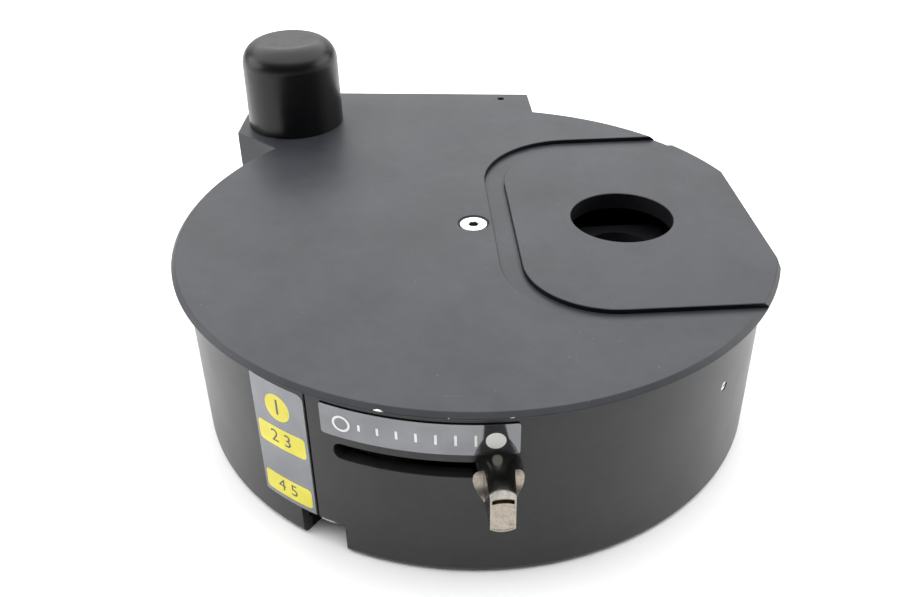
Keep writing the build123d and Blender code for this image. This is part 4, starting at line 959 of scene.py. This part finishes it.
@dataclass
class Skirt:
    """Round side wall with its port, the lever's slot, the notch and the gap for the cover."""

    wheel: Wheel
    edge: float = 0.15
    foot_round: float = 2.5
    foot_steps: int = 8
    port_radius: float = 15.0
    slot_height: float = 5.6
    lever_z: float = 41.2
    lever_angle: float = -90.5
    travel: float = 26.0
    detent_angle: float = -44.0
    detent_z: float = 42.2
    detent_radius: float = 1.55
    cover_start: float = -165.2
    cover_end: float = -122.8
    notch_start: float = -126.8
    notch_end: float = -117.5
    notch_height: float = 11.2

    def blank(self) -> Solid:
        """Closed drum with a rounded foot and the flat on its outside."""
        wheel = self.wheel
        turn = arc((wheel.skirt_radius - self.foot_round, self.foot_round), self.foot_round, -90, 0,
                   self.foot_steps)
        drum = Solid.lathe(turn + [(wheel.skirt_radius, wheel.flange_z)])
        reach = wheel.skirt_radius + 5
        return drum.cut(Solid.box((wheel.skirt_flat, -reach, -1), (reach, reach, wheel.height)))

    def hollow(self, low: float, high: float) -> Solid:
        """Space inside the wall."""
        outline = flatted_circle(self.wheel.inner_radius, self.wheel.inner_flat)
        return Solid.prism([(outline, low), (outline, high)])

    def through(self, outline: Callable[[float], list[Point]]) -> Solid:
        """Cutter through the wall, its outer edge broken.

        Args:
            outline: Gives (angle, height) points for a growth in millimetres.

        Returns:
            The cutter.
        """
        outer = self.wheel.skirt_radius
        levels = [(outer - self.wheel.skirt_wall - 12, 0.0), (outer - self.edge, 0.0),
                  (outer, self.edge), (outer + 3, self.edge)]
        return Solid.loft([on_skirt(outline(grow), radius) for radius, grow in levels])

    def degrees(self, length: float) -> float:
        """Angle that a length along the wall takes up."""
        return math.degrees(length / self.wheel.skirt_radius)

    def slot(self, grow: float) -> list[Point]:
        """Outline of the lever's slot, with round ends."""
        radius = self.slot_height / 2 + grow
        left, right = self.lever_angle - self.travel, self.lever_angle
        points = [(right + self.degrees(x), self.lever_z + y) for x, y in arc((0, 0), radius, -90, 90, 24)]
        points += [(right + (left - right) * step / 60, self.lever_z + radius) for step in range(1, 60)]
        points += [(left + self.degrees(x), self.lever_z + y) for x, y in arc((0, 0), radius, 90, 270, 24)]
        points += [(left + (right - left) * step / 60, self.lever_z - radius) for step in range(1, 60)]
        return points

    def window(self, start: float, end: float, low: float, high: float, grow: float) -> list[Point]:
        """Outline of a rectangular opening between two angles."""
        more = self.degrees(grow)
        start, end, high = start - more, end + more, high + grow
        steps = max(2, round(abs(end - start) * 2))
        lower = [(start + (end - start) * step / steps, low) for step in range(steps + 1)]
        return lower + [(angle, high) for angle, _ in reversed(lower)]

    def hole(self, angle: float, height: float, radius: float) -> Solid:
        """Cutter of a round hole through the wall."""
        return self.through(lambda grow: [(angle + self.degrees(x), height + y)
                                          for x, y in circle(radius + grow, 48)])

    def port(self) -> Solid:
        """Cutter of the excitation port in the flat."""
        flat = self.wheel.skirt_flat
        turn = Matrix.Translation((0, 0, self.wheel.port_height)) @ Matrix.Rotation(math.radians(90), 4, "Y")
        mouth = self.port_radius + self.edge
        cutter = Solid.lathe([(self.port_radius, flat - 12), (self.port_radius, flat - self.edge),
                              (mouth, flat), (mouth, flat + 9)], 192)
        return cutter.moved(turn)

    def notch(self) -> Solid:
        """Cutter of the fingertip notch in the foot."""
        return self.through(
            lambda grow: self.window(self.notch_start, self.notch_end, -1, self.notch_height, grow))

    def build(self, finish: Finish) -> None:
        """Makes the wall; the lugs and small holes inside stay with the hidden node."""
        gap = self.through(lambda grow: self.window(self.cover_start, self.cover_end, -1,
                                                    self.wheel.flange_z + 1, grow))
        wall = self.blank().cut(self.hollow(-1, self.wheel.height), gap, self.notch(), self.port(),
                                self.through(self.slot),
                                self.hole(self.detent_angle, self.detent_z, self.detent_radius))
        add_piece(wall, "skirt_shell", finish, "housing", ("skirt_wall",), 14)


@dataclass
class AccessCover:
    """Curved cover over the opening for the filter cubes."""

    wheel: Wheel
    skirt: Skirt
    thickness: float = 3.0
    seam: float = 0.35
    slide_gap: float = 0.15
    flange_height: float = 4.85

    def build(self, finish: Finish) -> None:
        """Makes the cover with its two inner flanges."""
        wheel, skirt = self.wheel, self.skirt
        start, end = skirt.cover_start + self.seam, skirt.cover_end - self.seam
        top = wheel.flange_z - self.slide_gap
        spigot = wheel.flange_z - wheel.spigot_depth
        drum = skirt.blank()
        bore = wheel.inner_radius + wheel.static_gap
        inner = wheel.skirt_radius - self.thickness
        wide = Solid.lathe([(bore, -1), (bore, wheel.height)])
        relief = Solid.lathe([(inner, self.flange_height), (inner, spigot)])
        keep = skirt.through(lambda grow: skirt.window(start, end, -1, top, -grow))
        panel = drum.cut(wide, relief).keep(keep).cut(skirt.notch())
        add_piece(panel, "access_cover_shell", finish, "cover", ("access_cover",), 14)


@dataclass
class MotorCap:
    """Domed cap over the motor."""

    wheel: Wheel
    base_radius: float = 19.5
    crown_radius: float = 19.2
    height: float = 35.0
    rounding: float = 9.0
    wall: float = 1.1
    lid_step: float = 0.15
    foot_edge: float = 0.4

    def shell_profile(self, inset: float) -> list[Point]:
        """Profile from the foot to the crown's middle, drawn in by an inset."""
        low = self.wheel.height - self.lid_step
        top = low + self.height - inset
        crown = self.crown_radius - inset
        rounding = self.rounding - inset
        profile = [(self.base_radius - inset, low)]
        profile += arc((crown - rounding, top - rounding), rounding, 1, 90, 32)
        return profile + [(0.02, top)]

    def build(self, finish: Finish) -> None:
        """Makes the shell."""
        outer = self.shell_profile(0)
        foot_x, foot_z = outer[0]
        outer[0:1] = [(foot_x - self.foot_edge / 2, foot_z), (foot_x, foot_z + self.foot_edge)]
        hollow = [(self.base_radius - self.wall, foot_z - 1)] + self.shell_profile(self.wall)
        cavity = Solid.lathe(hollow, 256, centre=self.wheel.motor_centre)
        cap = Solid.lathe(outer, 256, centre=self.wheel.motor_centre).cut(cavity)
        add_piece(cap, "motor_cap_shell", finish, "housing", ("motor_cap",), 40)


@dataclass
class ShutterKnob:
    """Turned knob, tapered to its tip, with two slightly tapered flats that run out round at the collar."""

    wheel: Wheel
    skirt: Skirt
    radius: float = 7.0
    collar: float = 2.5
    length: float = 15.8
    cutter_radius: float = 6.8
    land: float = 2.4
    land_radius: float = 6.7
    tip_radius: float = 6.3
    root_half_width: float = 4.2
    half_width: float = 3.4
    standoff: float = 0.8
    edge: float = 0.25
    border: float = 0.5
    recess: float = 0.12
    groove_top: float = 5.4
    groove_height: float = 1.5
    groove_depth: float = 1.2
    groove_bend: float = 8.5

    @property
    def start(self) -> float:
        """Distance of the knob's back face from the wheel's axis."""
        return self.wheel.skirt_radius + self.standoff

    @property
    def end(self) -> float:
        """Distance of its end face."""
        return self.start + self.length

    def flat_cutter(self, side: int) -> Solid:
        """Space beside one flat: a wedge with a round run-out."""
        shoulder, reach = self.start + self.collar, 2 * self.radius
        turn = shoulder + self.cutter_radius
        profile = arc((0.0, turn), self.cutter_radius, 180, 360, 64) + \
            [(self.cutter_radius, self.end + 1), (-self.cutter_radius, self.end + 1)]
        slope = (self.root_half_width - self.half_width) / (self.end - shoulder)
        near = [(x, side * (self.root_half_width - slope * (z - shoulder)), z) for x, z in profile]
        far = [(x, side * reach, z) for x, z in profile]
        return Solid.loft([near, far])

    def end_panel(self) -> Solid:
        """Cutter of the shallow panel in the end face."""
        reach, half = self.tip_radius - self.border, self.half_width - self.border
        corner = math.degrees(math.asin(half / reach))
        outline = arc((0, 0), reach, -corner, corner, 16) + arc((0, 0), reach, 180 - corner, 180 + corner, 16)
        return Solid.prism([(outline, self.end - self.recess), (outline, self.end + 1)])

    def build(self, finish: Finish) -> None:
        """Makes the knob on the lever's axis."""
        shoulder = self.start + self.collar
        body = Solid.lathe([(self.radius - self.edge, self.start), (self.radius, self.start + self.edge),
                            (self.radius, shoulder), (self.land_radius, self.end - self.land),
                            (self.tip_radius, self.end)], 200)
        spread = math.degrees(math.asin((self.half_width - self.border) / self.groove_bend))
        middle = self.groove_bend - self.groove_top
        upper = arc((middle, 0), self.groove_bend, 180 - spread, 180 + spread, 16)
        lower = arc((middle + self.groove_height, 0), self.groove_bend, 180 + spread, 180 - spread, 16)
        groove = Solid.prism([(upper + lower, self.end - self.groove_depth), (upper + lower, self.end + 1)])
        knob = body.cut(self.flat_cutter(-1), self.flat_cutter(1)).bevelled(self.edge)
        knob = knob.cut(self.end_panel(), groove)
        turn = Matrix.Rotation(math.radians(self.skirt.lever_angle), 4, "Z") @ \
            Matrix.Translation((0, 0, self.skirt.lever_z)) @ Matrix.Rotation(math.radians(90), 4, "Y")
        add_piece(knob.moved(turn), "shutter_knob_turned", finish, "shutter", ("shutter_knob",),
                  24)


@dataclass
class CentreScrew:
    """Countersunk screw in the middle of the plate."""

    wheel: Wheel
    head_radius: float = 4.7
    shank_radius: float = 2.5
    sink_step: float = 0.4
    length: float = 14.0
    edge: float = 0.25
    hex_radius: float = 1.73
    hex_depth: float = 2.2

    def build(self, finish: Finish, shade: Finish) -> None:
        """Makes the screw, its socket in a second, darker finish that paints the shade inside it."""
        top = self.wheel.height - self.sink_step
        foot = self.wheel.height - self.length
        shank = self.shank_radius
        neck = top - self.edge - self.head_radius + shank
        screw = Solid.lathe([(shank - 0.5, foot), (shank, foot + 0.5), (shank, neck),
                             (self.head_radius, top - self.edge),
                             (self.head_radius - self.edge / 2, top)], 128)
        key = circle(self.hex_radius, 6)
        flare = circle(self.hex_radius + self.edge, 6)
        socket = Solid.prism([(key, top - self.hex_depth), (key, top - self.edge),
                              (flare, top), (flare, top + 1)])
        turned = add_piece(screw.cut(socket), "centre_screw_turned", finish, "housing", ("centre_screw",),
                           24)
        # Faces inside the hex socket take the darker steel: painted shade.
        recolour(turned, shade,
                 lambda middle, normal: middle.xy.length < self.hex_radius and middle.z > foot + 1)


# ---------------------------------------------------------------- labels
@dataclass
class Film:
    """Thin printed film on the skirt, bent round it."""

    wheel: Wheel
    thickness: float = 0.12
    lift: float = 0.01
    step: float = 0.8

    def bend(self, flat: Solid, angle: float, height: float, lift: float) -> Solid:
        """Bends a flat solid round the skirt.

        Args:
            flat: The solid, x along the skirt, y up and z outwards, from its own middle.
            angle: Angle of its middle.
            height: Height of its middle.
            lift: Distance of its back from the skirt.

        Returns:
            The bent solid.
        """
        xs = [vertex.co.x for vertex in flat.mesh.verts]
        place = min(xs) + self.step
        while place < max(xs):
            geometry = flat.mesh.verts[:] + flat.mesh.edges[:] + flat.mesh.faces[:]
            bmesh.ops.bisect_plane(flat.mesh, geom=geometry, plane_co=(place, 0, 0), plane_no=(1, 0, 0))
            place += self.step
        radius = self.wheel.skirt_radius
        for vertex in flat.mesh.verts:
            x, y, z = vertex.co
            vertex.co = (*polar(radius + lift + z, angle + math.degrees(x / radius)), height + y)
        return flat

    def plate(self, width: float, height: float, corner: float | Sequence[float], thickness: float) -> Solid:
        """Flat plate with rounded corners, its front edge eased."""
        half_w, half_h = width / 2, height / 2
        corners = ((-half_w, -half_h), (half_w, -half_h), (half_w, half_h), (-half_w, half_h))
        radii = (corner,) * 4 if isinstance(corner, float) else tuple(corner)
        outline = RoundedOutline(corners, radii)
        ease = thickness / 3
        levels = [(0.0, 0.0), (0.0, thickness - ease), (-ease, thickness)]
        return Solid.prism([(outline.points(grow, 8), level) for grow, level in levels])

    def ring(self, outer: float, inner: float, thickness: float) -> Solid:
        """Flat ring."""
        profile = [(inner, 0), (outer, 0), (outer, thickness), (inner, thickness)]
        return Solid.lathe(profile, 48, ring=True)

    def digits(self, text: str, size: float, thickness: float) -> Solid:
        """Plain figures, extruded flat."""
        curve = bpy.data.curves.new("figures", "FONT")
        curve.body = text
        curve.size = size
        curve.extrude = thickness / 2
        curve.align_x, curve.align_y = "CENTER", "CENTER"
        writer = bpy.data.objects.new("figures", curve)
        bpy.context.scene.collection.objects.link(writer)
        mesh = evaluated_mesh(writer)
        bpy.data.objects.remove(writer)
        bpy.data.curves.remove(curve)
        solid = Solid(bmesh.new())
        solid.mesh.from_mesh(mesh)
        bpy.data.meshes.remove(mesh)
        bmesh.ops.remove_doubles(solid.mesh, verts=solid.mesh.verts, dist=1e-5)
        bmesh.ops.triangulate(solid.mesh, faces=solid.mesh.faces)
        return solid.moved(Matrix.Translation((0, 0, thickness / 2)))


@dataclass
class ShutterStrip(Film):
    """Strip above the slot, with an open and a closed mark and a plain scale between them."""

    start_angle: float = -120.1
    end_angle: float = -86.9
    low: float = 46.7
    high: float = 57.4
    corner: float = 0.95
    # Height by which the black sheet shows above the strip as a painted shadow line.
    painted_shadow_height: float = 0.65
    open_angle: float = -116.15
    closed_angle: float = -90.8
    mark_z: float = 51.8
    mark_radius: float = 2.75
    mark_line: float = 0.7
    ticks: int = 7

    def build(self, film: Finish, ink: Finish, shade: Finish) -> None:
        """Makes the strip, a black sheet whose edge shows above it as a painted shadow line, and its marks.
        """
        radius = self.wheel.skirt_radius
        width = math.radians(self.end_angle - self.start_angle) * radius
        middle_angle = (self.start_angle + self.end_angle) / 2
        middle_z = (self.low + self.high) / 2
        plate = self.plate(width, self.high - self.low, self.corner, self.thickness)
        add_piece(self.bend(plate, middle_angle, middle_z, self.lift), "shutter_strip", film, "housing")
        # Black sheet behind the strip's top edge, its visible edge a painted shadow line.
        back = self.plate(width - 0.8, self.painted_shadow_height + 1.0, self.corner / 2, self.thickness * 0.6)
        top = self.high + self.painted_shadow_height - (self.painted_shadow_height + 1.0) / 2
        add_piece(self.bend(back, middle_angle, top, self.lift / 2), "strip_painted_shadow", shade, "housing")
        lift = self.lift + self.thickness
        ring = self.ring(self.mark_radius, self.mark_radius - self.mark_line, INK)
        add_piece(self.bend(ring, self.open_angle, self.mark_z, lift), "open_mark", ink, "housing")
        disc = Solid.lathe([(self.mark_radius, 0), (self.mark_radius, INK)], 48)
        add_piece(self.bend(disc, self.closed_angle, self.mark_z, lift), "closed_mark", ink, "housing")
        for index in range(self.ticks):
            share = (index + 1) / (self.ticks + 1)
            angle = self.open_angle + (self.closed_angle - self.open_angle) * share
            tick = self.plate(0.7, 2.2 + 0.3 * index, 0.2, INK)
            add_piece(self.bend(tick, angle, self.mark_z, lift), f"scale_tick_{index + 1}", ink, "housing")


@dataclass
class StationLabel(Film):
    """Tall label on the cover: grey film with plain yellow fields and station figures."""

    start_angle: float = -135.5
    end_angle: float = -123.3
    low: float = 11.55
    high: float = 57.2
    corners: tuple[float, ...] = (0.6, 0.6, 2.2, 0.6)

    def build(self, film: Finish, field_ink: Finish, figure_ink: Finish) -> None:
        """Makes the label, its fields and its figures."""
        radius = self.wheel.skirt_radius
        width = math.radians(self.end_angle - self.start_angle) * radius
        middle = (self.start_angle + self.end_angle) / 2
        plate = self.plate(width, self.high - self.low, self.corners, self.thickness)
        add_piece(self.bend(plate, middle, (self.low + self.high) / 2, self.lift), "station_label", film,
                  "cover")
        lift = self.lift + self.thickness
        for name, height, tall, wide, text, size in (
            ("upper", 48.4, 9.6, 9.6, "1", 8.0),
            ("middle", 36.7, 7.8, 18.6, "2 3", 6.6),
            ("lower", 17.0, 7.6, 18.6, "4 5", 6.4),
        ):
            corner = min(tall, wide) / 2 - 0.01 if name == "upper" else 1.4
            panel = self.plate(wide, tall, corner, INK)
            add_piece(self.bend(panel, middle, height, lift), f"{name}_field", field_ink, "cover")
            figures = self.digits(text, size, INK)
            add_piece(self.bend(figures, middle, height, lift + INK), f"{name}_figures", figure_ink, "cover")


# ---------------------------------------------------------------- carried-over nodes
@dataclass
class InnerWorks:
    """Finishes of the nodes that keep their own shape."""

    finishes: dict[str, Finish] = field(default_factory=dict)

    def dress(self, nodes: dict[str, bpy.types.Object], hidden: Iterable[str]) -> None:
        """Gives every node its finish.

        Args:
            nodes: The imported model's nodes by name.
            hidden: Names of the nodes that a piece stands for.
        """
        for name, node in nodes.items():
            if name not in self.finishes:
                raise KeyError(f"no finish for {name}")
            node.data.materials.clear()
            node.data.materials.append(self.finishes[name].material())
            if name not in hidden:
                log.info("%s: %s", name, self.finishes[name].name)


# ---------------------------------------------------------------- stage
@dataclass
class Studio:
    """Pale floor, soft light and the camera."""

    camera_place: tuple[float, float, float] = (-21.400, -291.418, 225.782)
    aim: tuple[float, float, float] = (-10.625, -46.413, 64.0)
    roll: float = -1.154
    lens: float = 38.854
    floor_size: float = 6000.0
    floor_drop: float = 0.05
    ambient: float = 0.1

    def camera(self) -> None:
        """Makes the camera."""
        data = bpy.data.cameras.new("camera")
        data.lens = self.lens
        data.sensor_width = 36.0
        data.clip_start = 0.01
        data.clip_end = 20.0
        holder = bpy.data.objects.new("camera", data)
        bpy.context.scene.collection.objects.link(holder)
        place, aim = Vector(self.camera_place) * MM, Vector(self.aim) * MM
        forward = (aim - place).normalized()
        level = forward.cross(Vector((0, 0, 1))).normalized()
        up = level.cross(forward)
        turn = math.radians(self.roll)
        right = level * math.cos(turn) + up * math.sin(turn)
        up = right.cross(forward)
        holder.matrix_world = Matrix((
            (right.x, up.x, -forward.x, place.x),
            (right.y, up.y, -forward.y, place.y),
            (right.z, up.z, -forward.z, place.z),
            (0, 0, 0, 1),
        ))
        bpy.context.scene.camera = holder

    def floor(self, finish: Finish) -> None:
        """Makes the floor."""
        half = self.floor_size / 2
        slab = Solid.box((-half, -half, -10 - self.floor_drop), (half, half, -self.floor_drop))
        floor = slab.to_object("floor", MM)
        floor.data.materials.append(finish.material())

    def light(self, name: str, place: Sequence[float], aim: Sequence[float], size: Point,
              power: float) -> None:
        """Adds an oval soft light.

        Args:
            name: Its name.
            place: Its middle, in millimetres.
            aim: The point that it faces.
            size: Its width and height.
            power: Its power in watts.
        """
        data = bpy.data.lights.new(name, "AREA")
        data.shape = "ELLIPSE"
        data.size, data.size_y = size[0] * MM, size[1] * MM
        data.energy = power
        holder = bpy.data.objects.new(name, data)
        bpy.context.scene.collection.objects.link(holder)
        holder.location = Vector(place) * MM
        holder.rotation_euler = (Vector(aim) - Vector(place)).to_track_quat("-Z", "Y").to_euler()

    def build(self, finish: Finish) -> None:
        """Makes the whole stage."""
        scene = bpy.context.scene
        scene.view_settings.view_transform = "Standard"
        world = bpy.data.worlds.new("studio")
        scene.world = world
        world.use_nodes = True
        world.node_tree.nodes["Background"].inputs[0].default_value = (1.0, 1.0, 1.0, 1.0)
        world.node_tree.nodes["Background"].inputs[1].default_value = self.ambient
        self.floor(finish)
        self.light("overhead", (0, 900, 1600), (0, 900, 0), (5200, 4600), 168.0)
        self.light("back", (0, 2600, 900), (0, 0, 400), (5000, 1500), 18.0)
        self.light("left", (-2600, 300, 800), (0, 0, 200), (2600, 1400), 29.0)
        self.light("right", (2600, 300, 800), (0, 0, 200), (2600, 1400), 29.0)
        self.camera()


def finishes() -> dict[str, Finish]:
    """Every finish by its short name."""
    return {
        "black": BlackAnodised("black_anodised_plate", nicks=(
            Nick(-108.6, 62.8), Nick(-97.9, 62.7, 0.3, 0.12),
            Nick(-88.6, 62.7, 0.8, 0.1), Nick(-92.6, 63.9, 0.3, 0.12))),
        "black_skirt": BlackAnodised("black_anodised_skirt", (0.012, 0.0122, 0.0135), (0.019, 0.0192, 0.0208),
                                     0.34, 0.35, dust=0.12),
        # Darker, duller copy of the black anodising for inner parts and inner walls: painted shade, since
        # these lie in shade inside the housing.
        "black_painted_shade": BlackAnodised("black_anodised_painted_shade", (0.002, 0.002, 0.003), (0.004, 0.004, 0.005),
                                      0.6, 0.2, dust=0.0),
        "cap": MouldedPlastic("moulded_cap"),
        "steel": WorkedMetal("turned_steel", (0.50, 0.50, 0.51), 0.3),
        "bright": WorkedMetal("bright_steel", (0.60, 0.59, 0.57), 0.3, tarnish=0.3),
        "bearing": WorkedMetal("bearing_steel", (0.62, 0.62, 0.63), 0.15, tarnish=0.1),
        "aluminium": WorkedMetal("milled_aluminium", (0.72, 0.72, 0.73), 0.34, (6, 1, 1)),
        "brass": WorkedMetal("cut_brass", (0.72, 0.53, 0.22), 0.28),
        "motor": WorkedMetal("motor_can", (0.42, 0.42, 0.43), 0.36, (1, 1, 12)),
        "connector": WorkedMetal("plated_connector", (0.56, 0.55, 0.52), 0.3),
        "magnet": WorkedMetal("nickelled_magnet", (0.66, 0.64, 0.60), 0.2),
        "knob": PlatedKnob("dark_nickel"),
        "gear": GearPlastic("acetal_gear"),
        "sheet": MouldedPlastic("blackened_sheet", (0.010, 0.010, 0.011), 0.5),
        "board": CircuitBoard("sensor_board_mask"),
        "mirror": MirrorGlass("dichroic_coating"),
        "strip": PrintedFilm("grey_strip_film", (0.175, 0.178, 0.187), 0.10, 0.8),
        "label": PrintedFilm("grey_label_film", (0.20, 0.205, 0.218), 0.18, 0.7),
        "yellow": PrintedFilm("yellow_ink", (0.66, 0.58, 0.035), 0.3),
        # Darker copy of the steel for the screw's socket: painted shade.
        "socket": WorkedMetal("shaded_steel", (0.16, 0.16, 0.165), 0.45),
        # Near-black sheet above the strip: a painted shadow.
        "shade": MouldedPlastic("black_painted_shadow", (0.001, 0.001, 0.001), 0.7, 0.02),
        "figures": PrintedFilm("dark_ink", (0.04, 0.04, 0.045), 0.35),
        "white": PrintedFilm("white_ink", (0.72, 0.73, 0.70), 0.25),
        "floor": BenchTop("pale_floor"),
    }


def node_finishes(known: dict[str, Finish], stations: int = 5) -> dict[str, Finish]:
    """Finish of every node.

    Args:
        known: The finishes by short name.
        stations: Number of filter cubes.

    Returns:
        The finishes by node name.
    """
    groups = {
        "black": ("top_plate", "drive_housing"),
        "black_skirt": ("skirt_wall", "access_cover"),
        # Inner parts take the darker copy of the anodising, which paints their shade.
        "black_painted_shade": ("base_plate", "cube_guides"),
        "cap": ("motor_cap",),
        "steel": ("centre_post", "idler_pin", "output_shaft", "lever_stem", "cover_stop", "cover_keepers",
                  "base_screws", "post_screws", "housing_screws", "carousel_screws", "gearhead_screws",
                  "bracket_screws"),
        "bright": ("centre_screw", "detent_screw"),
        "bearing": ("bearing_inner_rings", "bearing_outer_rings"),
        "aluminium": ("carousel_disc", "spacer_sleeve", "top_spacer", "motor_bracket"),
        "brass": ("pinion",),
        "motor": ("gearhead", "drive_motor"),
        "connector": ("drive_connector",),
        "magnet": ("cover_magnets", "index_magnets"),
        "knob": ("shutter_knob",),
        "gear": ("ring_gear", "idler_gear", "idler_washer"),
        "sheet": ("shutter_frame", "shutter_blade"),
        "board": ("sensor_board",),
        "mirror": ("dichroic_mirrors",),
    }
    chosen = {name: known[short] for short, names in groups.items() for name in names}
    for index, tint in enumerate(Tint):
        station = index % stations + 1
        glass = FilterGlass(f"glass_{tint.name.lower()}", tint)
        chosen[f"exciter_filter_{station}"] = glass
        chosen[f"emission_filter_{station}"] = glass
        chosen[f"filter_cube_{station}"] = known["black_painted_shade"]
    return chosen


def main() -> None:
    """Builds the looks round the frame."""
    logging.basicConfig(level=logging.INFO, format="%(name)s %(message)s")
    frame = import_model()
    known = finishes()
    wheel = Wheel()
    skirt = Skirt(wheel)
    block = DriveBlock(wheel)
    TopPlate(wheel).build(known["black"], known["black_painted_shade"], block)
    skirt.build(known["black_skirt"])
    AccessCover(wheel, skirt).build(known["black_skirt"])
    MotorCap(wheel).build(known["cap"])
    ShutterKnob(wheel, skirt).build(known["knob"])
    CentreScrew(wheel).build(known["bright"], known["socket"])
    ShutterStrip(wheel).build(known["strip"], known["white"], known["shade"])
    StationLabel(wheel).build(known["label"], known["yellow"], known["figures"])
    replaced = {name for name, node in frame["nodes"].items() if node.hide_render}
    InnerWorks(node_finishes(known)).dress(frame["nodes"], replaced)
    Studio().build(known["floor"])


if __name__ == "__main__":
    main()
